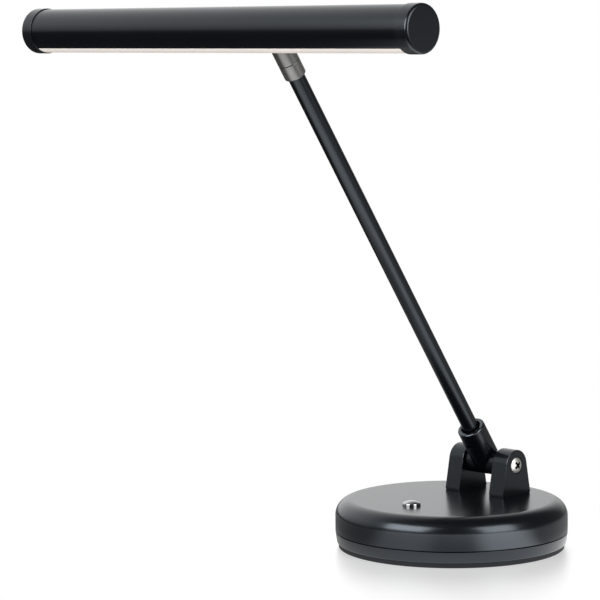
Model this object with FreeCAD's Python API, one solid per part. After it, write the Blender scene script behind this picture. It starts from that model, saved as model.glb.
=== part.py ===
"""Adjustable piano lamp: weighted round base, tilting arm, swivel neck and tubular LED head.

Millimetres. The origin is the centre of the underside, +Z points up, the tilt hinge of the arm
lies along X, and the arm leans towards the player, who sits at -Y.
"""
import FreeCAD
import Part

import math
import os

V = FreeCAD.Vector
ORIGIN = V(0, 0, 0)
X = V(1, 0, 0)
Y = V(0, 1, 0)
Z = V(0, 0, 1)

# Fits shared by the whole lamp
slip_gap = 0.15
press_gap = 0.02
running_gap = 0.05
side_play = 0.05
body_gap = 0.3
edge_break = 0.4
thread_gap = 0.02
overrun = 1.0

# Weighted base
base_diameter = 144.0
base_height = 30.0
foot_thickness = 3.0
foot_inset = 2.0
foot_edge = 0.6
seam_height = 10.2
seam_bevel = 0.4
shoulder_radius = 10.0
cover_wall = 2.5
cover_top = 3.0
cover_corner = 4.0
tray_floor = 2.5
tray_wall = 2.6
tray_rim = 4.0
tray_bevel = 0.8
tray_taper = 1.0
ballast_gap = 3.75
ballast_thickness = 9.0
ballast_screw_inset = 18.0
ballast_screw_count = 3
cover_post_diameter = 8.5
cover_post_inset = 8.0
cover_post_count = 3
cover_post_angle = 30.0

# Fasteners
m3 = 3.0
m4 = 4.0
m5 = 5.0
hexagon_sides = 6
cap_head_ratio = 1.9
cap_height_ratio = 0.62
flat_head_ratio = 1.95
hex_key_ratio = 0.5
key_depth_ratio = 0.3
clearance_hole = 0.3
cover_screw_grip = 12.0
ballast_screw_grip = 5.0
ear_screw_grip = 9.0
board_screw_grip = 4.0
bracket_screw_grip = 3.6

# Switch
button_diameter = 11.6
button_height = 3.4
button_dome = 1.65
button_edge = 0.35
button_travel = 1.2
button_setback = 35.5
button_flange = 1.2
button_flange_width = 1.0
button_stop_gap = 0.3
switch_side = 14.0
switch_depth = 6.5
plunger_diameter = 4.0
plunger_seat = 3.0
switch_clip_wall = 1.6

# Driver board
board_width = 26.0
board_length = 40.0
board_thickness = 1.6
board_inset = 29.0
board_y = -6.0
board_boss_diameter = 6.0
board_boss_inset = 3.4
board_drop = 8.0
coil_diameter = 10.0
coil_height = 3.4
chip_side = 7.0
chip_height = 1.5
capacitor_diameter = 6.0
capacitor_pitch = 8.0
capacitor_count = 3

# Power inlet
inlet_height = 15.1
inlet_thread = 7.8
inlet_flange = 10.6
inlet_flange_thickness = 1.2
inlet_depth = 12.0
inlet_bore = 6.2
inlet_bore_depth = 9.0
inlet_pin = 2.0
inlet_pin_setback = 1.0
inlet_spotface = 0.9
inlet_nut_flats = 9.6
inlet_nut_thickness = 2.0
inlet_tag_width = 2.2
inlet_tag_pitch = 4.0
inlet_tag_length = 3.0
inlet_tag_thickness = 0.4

# Hinge ears
ear_gap = 24.5
ear_thickness = 11.5
ear_depth = 26.4
ear_foot = 2.0
ear_tip_radius = 9.7
ear_setback = 37.5
hinge_rise = 18.8
ear_screw_pitch = 15.0
lead_duct = 4.2

# Hinge
barrel_diameter = 15.5
hinge_washer = 0.75
hinge_washer_diameter = 11.0
journal_diameter = 7.6
journal_bore = 5.0
journal_in_ear = 7.5
journal_in_barrel = 7.0
hinge_screw_in_barrel = 8.0
hinge_screw_play = 0.08
hinge_head_diameter = 10.0
hinge_head_height = 3.2
hinge_head_edge = 1.8
hinge_counterbore_depth = 3.0
hinge_counterbore_play = 0.25
cross_recess_width = 1.2
cross_recess_length = 4.6
cross_recess_depth = 2.2
lock_washer_thickness = 1.0
lock_washer_split = 0.9

# Arm
arm_lean = 34.5
arm_reach = 306.7
arm_diameter = 10.0
arm_wall = 1.5
arm_lead = 3.0
socket_diameter = 17.5
socket_length = 28.7
socket_floor = 8.0
socket_mouth = 13.4
socket_mouth_depth = 4.5
socket_rim_bevel = 1.1
socket_foot_bevel = 1.6
set_screw_along = 19.0
set_screw_sunk = 0.6

# Swivel
knuckle_diameter = 13.0
knuckle_length = 9.8
knuckle_cap = 2.8
knuckle_bevel = 1.0
swivel_washer = 0.3
swivel_washer_inset = 0.5
stud_diameter = 6.0
stud_bore = 3.3
neck_floor = 3.5
neck_length = 11.5
neck_bore = 10.2
nut_washer = 0.5
swivel_nut_diameter = 9.4
swivel_nut_thickness = 3.0
swivel_nut_slot = 1.4
neck_spigot = 3.0

# Tilt joint behind the head
eye_rise = 10.7
eye_thickness = 8.0
eye_radius = 6.0
fork_gap = 0.1
fork_cheek = 4.0
fork_reach = 9.0
tilt_pin = 5.0
tilt_head = 8.6
tilt_head_height = 2.2
tilt_nut_flats = 8.0
tilt_nut_height = 3.2

# Head
head_reach = 43.7
head_length = 311.0
tube_diameter = 25.6
tube_wall = 1.5
cap_diameter = 26.7
cap_length = 9.0
cap_round = 1.2
cap_back_bevel = 0.4
cap_spigot = 7.0
cap_wall = 1.8
slot_half_angle = 36.0
web_drop = 3.5
web_thickness = 1.5
diffuser_thickness = 1.6
diffuser_lip = 1.1
diffuser_lip_angle = 9.0
led_board_width = 12.0
led_board_thickness = 1.2
led_board_setback = 4.0
led_count = 30
led_length = 3.5
led_width = 2.8
led_height = 0.8
led_end = 8.0
pad_width = 38.0
pad_height = 15.0
pad_thickness = 2.6
pad_screw_pitch = 27.0
bracket_neck_width = 16.4

# Places that follow from the sizes
base_radius = base_diameter / 2
foot_radius = base_radius - foot_inset
bottom_radius = base_radius - tray_taper
cover_inner_radius = base_radius - cover_wall
cover_ceiling = base_height - cover_top
tray_top = foot_thickness + tray_floor
tray_lip_radius = cover_inner_radius - slip_gap
tray_inner_radius = tray_lip_radius - tray_wall
cover_post_circle = 2 * (cover_inner_radius - cover_post_inset)
ballast_diameter = cover_post_circle - cover_post_diameter - 2 * ballast_gap
ballast_screw_circle = ballast_diameter - 2 * ballast_screw_inset
ballast_top = tray_top + ballast_thickness
button_front = base_radius - button_setback
board_x = board_inset - cover_inner_radius
ear_back = base_radius - ear_setback
hinge_z = base_height + hinge_rise
ear_centre_x = (ear_gap + ear_thickness) / 2
ear_outer_x = ear_gap / 2 + ear_thickness
barrel_half = ear_gap / 2 - hinge_washer - side_play
tube_radius = tube_diameter / 2
tube_length = head_length - 2 * cap_length
knuckle_ring = arm_reach
knuckle_start = knuckle_ring - knuckle_length
neck_start = knuckle_ring + swivel_washer
neck_top = neck_start + neck_length
tilt_along = neck_top + eye_rise
lean = math.radians(arm_lean)
tilt_y = ear_back - tilt_along * math.sin(lean)
tilt_z = hinge_z + tilt_along * math.cos(lean)
head_y = tilt_y - head_reach
web_bottom = -web_drop - web_thickness


def rod(diameter, length, start=ORIGIN, direction=Z):
    return Part.makeCylinder(diameter / 2, length, start, direction)


def tube(outer, inner, length, start=ORIGIN, direction=Z):
    back = V(direction).normalize() * overrun
    core = rod(inner, length + 2 * overrun, start - back, direction)
    return rod(outer, length, start, direction).cut(core)


def block(size_x, size_y, size_z, centre_x=0, centre_y=0, bottom=0):
    corner = V(centre_x - size_x / 2, centre_y - size_y / 2, bottom)
    return Part.makeBox(size_x, size_y, size_z, corner)


def polygon(points):
    return Part.makePolygon(points + points[:1])


def turned(outline):
    """Revolve a closed outline of (radius, height) corners round Z."""
    wire = polygon([V(radius, 0, height) for radius, height in outline])
    return Part.Face(wire).revolve(ORIGIN, Z, 360)


def circular_edges(shape, radius, height, tolerance=0.001):
    """Edges that run round Z with this radius at this height."""
    found = []
    for edge in shape.Edges:
        if edge.Degenerated or not isinstance(edge.Curve, Part.Circle):
            continue
        curve = edge.Curve
        if abs(curve.Radius - radius) < tolerance and abs(curve.Center.z - height) < tolerance:
            found.append(edge)
    return found


def rounded(shape, size, radius, height):
    return shape.makeFillet(size, circular_edges(shape, radius, height))


def bevelled(shape, size, radius, height):
    return shape.makeChamfer(size, circular_edges(shape, radius, height))


def around(count, circle, start_angle=0.0):
    """Points spaced evenly on a circle of this diameter round Z."""
    step = 360 / count
    places = []
    for index in range(count):
        angle = math.radians(start_angle + index * step)
        places.append(V(math.cos(angle), math.sin(angle), 0) * (circle / 2))
    return places


def facing(shape, direction, start):
    """Turn a shape built along +Z to point along a direction, and move it to its start."""
    placed = shape.copy()
    placed.Placement = FreeCAD.Placement(start, FreeCAD.Rotation(Z, direction))
    return placed


def on_arm(shape):
    """Carry a shape from the arm's frame, hinge at the origin and arm along Z, to the lamp."""
    placed = shape.copy()
    placed.rotate(ORIGIN, X, arm_lean)
    placed.translate(V(0, ear_back, hinge_z))
    return placed


def on_head(shape):
    """Carry a shape from the head's frame, head along X and light along -Z, to the lamp."""
    placed = shape.copy()
    placed.translate(V(0, head_y, tilt_z))
    return placed


def hexagon(across_flats):
    """Face of a hexagon with this distance across its flats."""
    return Part.Face(polygon(around(hexagon_sides, across_flats / math.cos(math.pi / hexagon_sides))))


def key_socket(size, head_height):
    """Hexagon socket that opens upward from a screw head's top."""
    depth = size * key_depth_ratio
    face = hexagon(size * hex_key_ratio)
    face.translate(V(0, 0, head_height - depth))
    return face.extrude(V(0, 0, depth + overrun))


def cap_screw(size, grip, start, direction):
    """Socket head screw: the shank runs along direction, and the head's seat is at the start."""
    head_diameter = size * cap_head_ratio
    head_height = size * cap_height_ratio
    head = rod(head_diameter, head_height).cut(key_socket(size, head_height))
    shank = rod(size, grip, V(0, 0, -grip))
    return facing(head.fuse(shank).removeSplitter(), direction * -1, start)


def flat_screw(size, grip, start, direction):
    """Countersunk screw: the flat of its head is at the start."""
    head_radius = size * flat_head_ratio / 2
    slope = head_radius - size / 2
    head = Part.makeCone(size / 2, head_radius, slope, V(0, 0, -slope))
    shank = rod(size, grip, V(0, 0, -grip))
    screw = head.fuse(shank).cut(key_socket(size, 0)).removeSplitter()
    return facing(screw, direction * -1, start)


def countersink(size, grip, start, direction):
    """Clearance for a countersunk screw."""
    hole = size + clearance_hole
    head_radius = size * flat_head_ratio / 2 + slip_gap
    slope = head_radius - hole / 2
    seat = Part.makeCone(hole / 2, head_radius, slope, V(0, 0, -slope))
    mouth = rod(2 * head_radius, overrun)
    return facing(seat.fuse([mouth, rod(hole, grip, V(0, 0, -grip))]), direction * -1, start)


def cover_post_places():
    return around(cover_post_count, cover_post_circle, cover_post_angle)


def ballast_screw_places():
    return around(ballast_screw_count, ballast_screw_circle, cover_post_angle)


def ear_screw_places(side):
    centre = V(side * ear_centre_x, ear_back, 0)
    return [centre + V(0, step * ear_screw_pitch / 2, 0) for step in (-1, 1)]


def board_corner_places():
    places = []
    for side_x, side_y in ((-1, -1), (1, 1)):
        offset_x = side_x * (board_width / 2 - board_boss_inset)
        offset_y = side_y * (board_length / 2 - board_boss_inset)
        places.append(V(board_x + offset_x, board_y + offset_y, 0))
    return places


def base_cover():
    """Domed steel cover with its posts, bosses and holes."""
    outer = rod(base_diameter, base_height - seam_height, V(0, 0, seam_height))
    outer = rounded(outer, shoulder_radius, base_radius, base_height)
    outer = bevelled(outer, seam_bevel, base_radius, seam_height)
    inner = rod(2 * cover_inner_radius, cover_ceiling - seam_height, V(0, 0, seam_height))
    inner = bevelled(inner, cover_corner, cover_inner_radius, cover_ceiling)
    cover = outer.cut(inner)
    posts = [rod(cover_post_diameter, cover_ceiling - tray_top, V(0, 0, tray_top) + place)
             for place in cover_post_places()]
    bosses = [rod(board_boss_diameter, board_drop, V(0, 0, cover_ceiling - board_drop) + place)
              for place in board_corner_places()]
    cover = cover.fuse(posts + bosses)
    return cover.cut(cover_holes()).removeSplitter()


def cover_holes():
    holes = [rod(m4 + 2 * thread_gap, cover_screw_grip, place + V(0, 0, foot_thickness))
             for place in cover_post_places()]
    for side in (-1, 1):
        for place in ear_screw_places(side):
            start = place + V(0, 0, cover_ceiling - overrun)
            holes.append(rod(m4 + clearance_hole, cover_top + 2 * overrun, start))
    for place in board_corner_places():
        start = place + V(0, 0, cover_ceiling - board_drop - overrun)
        holes.append(rod(m3 + 2 * thread_gap, board_screw_grip + overrun, start))
    duct_start = V(-ear_centre_x, ear_back, cover_ceiling - overrun)
    holes.append(rod(lead_duct, cover_top + 2 * overrun, duct_start))
    button_start = V(0, -button_front, cover_ceiling - overrun)
    holes.append(rod(button_diameter + 2 * body_gap, cover_top + 2 * overrun, button_start))
    holes.append(inlet_hole())
    return holes


def inlet_hole():
    """Round hole through the rear wall with a flat seat for the inlet's flange."""
    start = V(0, cover_inner_radius - inlet_depth, inlet_height)
    hole = rod(inlet_thread + 2 * slip_gap, cover_wall + 2 * inlet_depth, start, Y)
    seat = rod(inlet_flange + 2 * slip_gap, inlet_depth, V(0, base_radius - inlet_spotface, inlet_height), Y)
    back = V(0, 0, inlet_height)
    inner_flat = rod(inlet_nut_room(), inlet_seat_inner_y(), back, Y)
    return hole.fuse([seat, inner_flat])


def inlet_nut_room():
    """Diameter that clears the corners of the inlet's nut."""
    return inlet_nut_flats / math.cos(math.pi / hexagon_sides) + 2 * slip_gap


def inlet_seat_inner_y():
    """Inner face of the flat behind the inlet, where the nut's room meets the round wall."""
    return math.sqrt(cover_inner_radius ** 2 - (inlet_nut_room() / 2) ** 2)


def base_tray():
    """Lower ring and floor that close the cover from below."""
    edge = [
        (0, foot_thickness),
        (bottom_radius - tray_bevel, foot_thickness),
        (bottom_radius, foot_thickness + tray_bevel),
        (base_radius, seam_height - seam_bevel),
        (base_radius - seam_bevel, seam_height),
        (tray_lip_radius, seam_height),
        (tray_lip_radius, seam_height + tray_rim),
        (tray_inner_radius, seam_height + tray_rim),
        (tray_inner_radius, tray_top),
        (0, tray_top),
    ]
    tray = turned(edge)
    for place in cover_post_places():
        start = place + V(0, 0, foot_thickness)
        tray = tray.cut(countersink(m4, cover_screw_grip, start, Z))
    for place in ballast_screw_places():
        start = place + V(0, 0, foot_thickness)
        tray = tray.cut(countersink(m4, ballast_screw_grip, start, Z))
    relief_start = V(0, 0, inlet_height)
    relief = rod(inlet_nut_room(), base_radius, relief_start, Y)
    return tray.cut(relief).removeSplitter()


def ballast_weight():
    """Steel slug on the tray's floor."""
    slug = rod(ballast_diameter, ballast_thickness, V(0, 0, tray_top))
    slug = bevelled(slug, edge_break, ballast_diameter / 2, ballast_top)
    for place in ballast_screw_places():
        slug = slug.cut(rod(m4 + 2 * thread_gap, ballast_screw_grip, place + V(0, 0, foot_thickness)))
    return slug


def foot_pad():
    """Soft pad that hides the screws and protects the piano's lid."""
    pad = rod(2 * foot_radius, foot_thickness)
    return bevelled(pad, foot_edge, foot_radius, 0)


def cover_screws():
    return [flat_screw(m4, cover_screw_grip, place + V(0, 0, foot_thickness), Z)
            for place in cover_post_places()]


def ballast_screws():
    return [flat_screw(m4, ballast_screw_grip, place + V(0, 0, foot_thickness), Z)
            for place in ballast_screw_places()]


def ear_profile():
    """Side outline of an ear: upright foot, straight taper and round tip."""
    half = ear_depth / 2
    run = math.hypot(half, hinge_rise - ear_foot)
    slope = math.atan2(hinge_rise - ear_foot, half) + math.asin(ear_tip_radius / run)
    tangent = V(0, math.sin(slope), math.cos(slope)) * ear_tip_radius + V(0, 0, hinge_rise)
    mirrored = V(0, -tangent.y, tangent.z)
    tip = V(0, 0, hinge_rise + ear_tip_radius)
    lines = [
        Part.makeLine(mirrored, V(0, -half, ear_foot)),
        Part.makeLine(V(0, -half, ear_foot), V(0, -half, 0)),
        Part.makeLine(V(0, -half, 0), V(0, half, 0)),
        Part.makeLine(V(0, half, 0), V(0, half, ear_foot)),
        Part.makeLine(V(0, half, ear_foot), tangent),
    ]
    arc = Part.Arc(tangent, tip, mirrored).toShape()
    return Part.Face(Part.Wire(lines + [arc]))


def plain_ear(side):
    """Tapered block with broken edges round both flat faces."""
    face = ear_profile()
    inner_x = side * ear_gap / 2
    face.translate(V(inner_x, ear_back, base_height))
    ear = face.extrude(V(side * ear_thickness, 0, 0))
    rims = [edge for edge in ear.Edges if is_ear_rim(edge, inner_x, side * ear_outer_x)]
    ear = ear.makeChamfer(edge_break, rims)
    for place in ear_screw_places(side):
        hole = rod(m4 + 2 * thread_gap, ear_screw_grip - cover_top, place + V(0, 0, base_height))
        ear = ear.cut(hole)
    return ear


def is_ear_rim(edge, inner_x, outer_x):
    """True for the edges of the two flat faces that stand above the base."""
    box = edge.BoundBox
    flat = box.XLength < edge_break and min(abs(box.XMin - inner_x), abs(box.XMin - outer_x)) < edge_break
    return flat and box.ZMax > base_height + edge_break


def ear_left():
    """Ear that carries the hollow journal and the duct for the lead."""
    ear = plain_ear(-1)
    bore_start = V(-ear_gap / 2 + overrun, ear_back, hinge_z)
    bore = rod(journal_diameter + 2 * press_gap, journal_in_ear + overrun, bore_start, X * -1)
    duct_start = V(-ear_centre_x, ear_back, base_height - overrun)
    duct = rod(lead_duct, hinge_rise + overrun, duct_start)
    return ear.cut([bore, duct])


def ear_right():
    """Ear with the counterbore for the hinge screw."""
    ear = plain_ear(1)
    bore = rod(m5 + 2 * hinge_screw_play, ear_thickness + 2 * overrun,
               V(ear_gap / 2 - overrun, ear_back, hinge_z), X)
    sink_diameter = hinge_head_diameter + 2 * hinge_counterbore_play
    sink = rod(sink_diameter, hinge_counterbore_depth + overrun,
               V(ear_outer_x - hinge_counterbore_depth, ear_back, hinge_z), X)
    return ear.cut([bore, sink])


def ear_screws():
    screws = []
    for side in (-1, 1):
        for place in ear_screw_places(side):
            screws.append(cap_screw(m4, ear_screw_grip, place + V(0, 0, cover_ceiling), Z))
    return screws


def hinge_journal():
    """Hollow journal pressed in the left ear; the lead runs through it into the barrel."""
    start = V(-ear_gap / 2 - journal_in_ear, ear_back, hinge_z)
    length = journal_in_ear + hinge_washer + side_play + journal_in_barrel
    sleeve = tube(journal_diameter, journal_bore, length, start, X)
    duct_start = V(-ear_centre_x, ear_back, hinge_z - journal_diameter)
    return sleeve.cut(rod(lead_duct, journal_diameter, duct_start))


def hinge_washers():
    """Two thin friction washers between the ears and the barrel."""
    left = tube(hinge_washer_diameter, journal_diameter + 2 * slip_gap, hinge_washer,
                V(-ear_gap / 2, ear_back, hinge_z), X)
    right = tube(hinge_washer_diameter, m5 + 2 * slip_gap, hinge_washer,
                 V(ear_gap / 2 - hinge_washer, ear_back, hinge_z), X)
    return [left, right]


def lock_washer():
    """Split spring washer on the counterbore's floor."""
    start = V(ear_outer_x - hinge_counterbore_depth, ear_back, hinge_z)
    outer = hinge_head_diameter - 2 * edge_break
    ring = tube(outer, m5 + 2 * slip_gap, lock_washer_thickness, start, X)
    gap = block(lock_washer_thickness + 2 * overrun, lock_washer_split, outer,
                start.x + lock_washer_thickness / 2, ear_back, hinge_z)
    return ring.cut(gap)


def hinge_screw():
    """Domed cross-recessed screw that draws the barrel against the right ear."""
    seat_x = ear_outer_x - hinge_counterbore_depth + lock_washer_thickness + side_play
    rise = hinge_head_height - hinge_head_edge
    grip = seat_x - barrel_half + hinge_screw_in_barrel
    crown = (hinge_head_diameter ** 2 / 4 + rise ** 2) / (2 * rise)
    ball = Part.makeSphere(crown, V(0, 0, hinge_head_height - crown))
    head = rod(hinge_head_diameter, hinge_head_height).common(ball)
    recess_start = hinge_head_height - cross_recess_depth
    wide = block(cross_recess_length, cross_recess_width, hinge_head_height, bottom=recess_start)
    tall = block(cross_recess_width, cross_recess_length, hinge_head_height, bottom=recess_start)
    shank = rod(m5, grip, V(0, 0, -grip))
    screw = head.fuse(shank).cut([wide, tall]).removeSplitter()
    return facing(screw, X, V(seat_x, ear_back, hinge_z))


def button_cap():
    """Chromed push button with a low crown and a retaining flange below the cover."""
    stem = cover_top - button_stop_gap
    crown_drop = button_height - button_dome
    radius = button_diameter / 2
    sphere_radius = (radius ** 2 + button_dome ** 2) / (2 * button_dome)
    body = rod(button_diameter, button_height + stem, V(0, 0, -stem))
    ball = Part.makeSphere(sphere_radius, V(0, 0, button_height - sphere_radius))
    body = body.common(ball.fuse(rod(button_diameter, crown_drop + stem, V(0, 0, -stem))))
    body = bevelled(body, button_edge, radius, crown_drop)
    flange = rod(button_diameter + 2 * button_flange_width, button_flange,
                 V(0, 0, -cover_top - button_stop_gap - button_flange))
    link = rod(button_diameter, 2 * button_stop_gap, V(0, 0, -cover_top - button_stop_gap))
    cap = body.fuse([link, flange]).removeSplitter()
    seat = rod(plunger_diameter + 2 * press_gap, plunger_seat,
               V(0, 0, -cover_top - button_stop_gap - button_flange))
    cap = cap.cut(seat)
    cap.translate(V(0, -button_front, base_height))
    return cap


def switch_top():
    return cover_ceiling - button_stop_gap - button_flange - button_travel - body_gap


def switch_body():
    """Push switch block held under the cover."""
    bottom = switch_top() - switch_depth
    body = block(switch_side, switch_side, switch_depth, 0, -button_front, bottom)
    uprights = [edge for edge in body.Edges if edge.BoundBox.ZLength > switch_depth / 2]
    body = body.makeChamfer(edge_break, uprights)
    bore = rod(plunger_diameter + 2 * running_gap, switch_depth / 2 + overrun,
               V(0, -button_front, switch_top() - switch_depth / 2))
    return body.cut(bore)


def switch_plunger():
    """Plunger that the button is pressed on."""
    bottom = switch_top() - button_travel
    top = cover_ceiling - button_stop_gap - button_flange + plunger_seat
    return rod(plunger_diameter, top - bottom, V(0, -button_front, bottom))


def switch_clip():
    """Two-legged bracket that hangs the switch from the cover's ceiling."""
    outer = switch_side + 2 * slip_gap + 2 * switch_clip_wall
    bottom = switch_top() - switch_depth - switch_clip_wall
    frame = block(outer, switch_side, cover_ceiling - bottom, 0, -button_front, bottom)
    room = block(switch_side + 2 * slip_gap, switch_side + 2 * overrun, cover_ceiling - bottom,
                 0, -button_front, bottom + switch_clip_wall)
    return frame.cut(room)


def driver_board():
    """Dimming board with its coil, chip and capacitors facing down."""
    top = cover_ceiling - board_drop
    bottom = top - board_thickness
    board = block(board_width, board_length, board_thickness, board_x, board_y, bottom)
    for place in board_corner_places():
        board = board.cut(rod(m3 + clearance_hole, board_thickness + 2 * overrun,
                              place + V(0, 0, bottom - overrun)))
    coil_y = board_y + board_length / 2 - coil_diameter
    coil = rod(coil_diameter, coil_height, V(board_x - board_boss_inset, coil_y, top))
    chip = block(chip_side, chip_side, chip_height, board_x, board_y, top)
    parts = [coil, chip]
    for index in range(capacitor_count):
        along = (index - (capacitor_count - 1) / 2) * capacitor_pitch
        parts.append(rod(capacitor_diameter, coil_height, V(board_x + along, board_y - capacitor_pitch, top)))
    return board.fuse(parts).removeSplitter()


def board_screws():
    bottom = cover_ceiling - board_drop - board_thickness
    grip = board_thickness + board_screw_grip - overrun
    return [cap_screw(m3, grip, place + V(0, 0, bottom), Z) for place in board_corner_places()]


def inlet_seat_y():
    return base_radius - inlet_spotface


def power_inlet():
    """Panel jack in the rear wall with its centre pin and solder tags."""
    face_y = inlet_seat_y() + inlet_flange_thickness
    flange = rod(inlet_flange, inlet_flange_thickness, V(0, inlet_seat_y(), inlet_height), Y)
    barrel = rod(inlet_thread, inlet_depth, V(0, inlet_seat_y() - inlet_depth, inlet_height), Y)
    jack = flange.fuse(barrel)
    bore_start = V(0, face_y - inlet_bore_depth, inlet_height)
    jack = jack.cut(rod(inlet_bore, inlet_bore_depth + overrun, bore_start, Y))
    pin_length = inlet_bore_depth - inlet_pin_setback
    pin = rod(inlet_pin, pin_length + overrun, bore_start - Y * overrun, Y)
    tags = []
    for side in (-1, 1):
        tag = block(inlet_tag_width, inlet_tag_length, inlet_tag_thickness, side * inlet_tag_pitch / 2,
                    inlet_seat_y() - inlet_depth - inlet_tag_length / 2, inlet_height)
        tags.append(tag)
    return jack.fuse([pin] + tags).removeSplitter()


def inlet_nut():
    """Hexagon nut that clamps the inlet from inside."""
    prism = hexagon(inlet_nut_flats).extrude(V(0, 0, inlet_nut_thickness))
    nut = prism.cut(rod(inlet_thread + 2 * thread_gap, inlet_nut_thickness + 2 * overrun, V(0, 0, -overrun)))
    return facing(nut, Y * -1, V(0, inlet_seat_inner_y(), inlet_height))


def arm_socket():
    """Tee of the hinge: cross barrel with the tapered-mouth socket for the arm."""
    sleeve = rod(socket_diameter, socket_length)
    sleeve = bevelled(sleeve, socket_rim_bevel, socket_diameter / 2, socket_length)
    sleeve = bevelled(sleeve, socket_foot_bevel, socket_diameter / 2, 0)
    barrel = rod(barrel_diameter, 2 * barrel_half, V(-barrel_half, 0, 0), X)
    tee = sleeve.fuse(barrel).removeSplitter()
    bore = rod(arm_diameter + 2 * slip_gap, socket_length, V(0, 0, socket_floor))
    mouth_start = socket_length - socket_mouth_depth
    mouth = rod(socket_mouth, socket_mouth_depth + overrun, V(0, 0, mouth_start))
    lead_way = rod(journal_bore, socket_floor + overrun)
    left_bore = rod(journal_diameter + 2 * running_gap, journal_in_barrel + overrun,
                    V(-barrel_half - overrun, 0, 0), X)
    cross_way = rod(journal_bore, barrel_half, V(-barrel_half, 0, 0), X)
    tapped = rod(m5 + 2 * thread_gap, hinge_screw_in_barrel + overrun,
                 V(barrel_half - hinge_screw_in_barrel, 0, 0), X)
    screw_hole = rod(m4 + 2 * thread_gap, socket_diameter / 2, V(0, 0, set_screw_along), Y * -1)
    return on_arm(tee.cut([bore, mouth, lead_way, left_bore, cross_way, tapped, screw_hole]))


def set_screw():
    """Grub screw that locks the arm in the socket."""
    outer = socket_diameter / 2 - set_screw_sunk
    inner = arm_diameter / 2
    screw = rod(m4, outer - inner).cut(key_socket(m4, outer - inner))
    return on_arm(facing(screw, Y * -1, V(0, -inner, set_screw_along)))


def arm_tube():
    """Hollow arm between the socket's floor and the knuckle's cap."""
    length = knuckle_ring - knuckle_cap - socket_floor
    return on_arm(tube(arm_diameter, arm_diameter - 2 * arm_wall, length, V(0, 0, socket_floor)))


def stud_top():
    return neck_start + neck_floor + nut_washer + swivel_nut_thickness


def arm_cable():
    """Straight lead inside the arm, held by the hollow stud at its top."""
    return on_arm(rod(arm_lead, stud_top() - socket_floor, V(0, 0, socket_floor)))


def knuckle_base():
    """Fixed half of the swivel, clamped on the arm's end."""
    body = rod(knuckle_diameter, knuckle_ring - knuckle_start, V(0, 0, knuckle_start))
    body = bevelled(body, knuckle_bevel, knuckle_diameter / 2, knuckle_start)
    body = bevelled(body, edge_break / 2, knuckle_diameter / 2, knuckle_ring)
    seat = rod(arm_diameter + 2 * press_gap, knuckle_ring - knuckle_cap - knuckle_start + overrun,
               V(0, 0, knuckle_start - overrun))
    hole = rod(stud_diameter + 2 * thread_gap, knuckle_cap + 2 * overrun,
               V(0, 0, knuckle_ring - knuckle_cap - overrun))
    return on_arm(body.cut([seat, hole]))


def swivel_stud():
    """Hollow stud that joins the two halves of the swivel."""
    start = knuckle_ring - knuckle_cap
    return on_arm(tube(stud_diameter, stud_bore, stud_top() - start, V(0, 0, start)))


def swivel_rings():
    """Thin slip ring between the halves, with a second one under the nut."""
    lower = tube(knuckle_diameter - 2 * swivel_washer_inset, stud_diameter + 2 * running_gap,
                 swivel_washer - side_play, V(0, 0, knuckle_ring))
    upper_start = neck_start + neck_floor + side_play
    upper = tube(swivel_nut_diameter, stud_diameter + 2 * running_gap,
                 nut_washer - side_play, V(0, 0, upper_start))
    return [on_arm(lower), on_arm(upper)]


def swivel_nut():
    """Round slotted nut on the stud."""
    start = neck_start + neck_floor + nut_washer
    nut = tube(swivel_nut_diameter, stud_diameter + 2 * thread_gap, swivel_nut_thickness, V(0, 0, start))
    slot = block(swivel_nut_diameter, swivel_nut_slot, swivel_nut_thickness,
                 bottom=start + swivel_nut_thickness / 2)
    return on_arm(nut.cut(slot))


def neck_sleeve():
    """Turning half of the swivel, a cup with its floor on the slip ring."""
    cup = rod(knuckle_diameter, neck_length, V(0, 0, neck_start))
    cup = bevelled(cup, edge_break / 2, knuckle_diameter / 2, neck_start)
    cup = bevelled(cup, edge_break, knuckle_diameter / 2, neck_top)
    room = rod(neck_bore, neck_length, V(0, 0, neck_start + neck_floor))
    hole = rod(stud_diameter + 2 * running_gap, neck_floor + 2 * overrun, V(0, 0, neck_start - overrun))
    return on_arm(cup.cut([room, hole]))


def neck_eye():
    """Flat eye on a round spigot pressed in the neck's cup."""
    spigot = tube(neck_bore - 2 * press_gap, stud_bore, neck_spigot, V(0, 0, neck_top - neck_spigot))
    tongue = block(eye_thickness, 2 * eye_radius, tilt_along - neck_top, bottom=neck_top)
    eye = rod(2 * eye_radius, eye_thickness, V(-eye_thickness / 2, 0, tilt_along), X)
    pin_hole = rod(tilt_pin + 2 * running_gap, eye_thickness + 2 * overrun,
                   V(-eye_thickness / 2 - overrun, 0, tilt_along), X)
    return on_arm(spigot.fuse([tongue, eye]).cut(pin_hole).removeSplitter())


def sector(radius, half_angle, length):
    """Wedge of a cylinder along X that opens to -Z, centred on X."""
    reach = radius / math.cos(math.radians(half_angle)) + overrun
    spread = reach * math.sin(math.radians(half_angle))
    depth = reach * math.cos(math.radians(half_angle))
    corners = [V(-length / 2, 0, 0), V(-length / 2, -spread, -depth), V(-length / 2, spread, -depth)]
    return Part.Face(polygon(corners)).extrude(V(length, 0, 0))


def bar(diameter, length):
    return rod(diameter, length, V(-length / 2, 0, 0), X)


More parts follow.
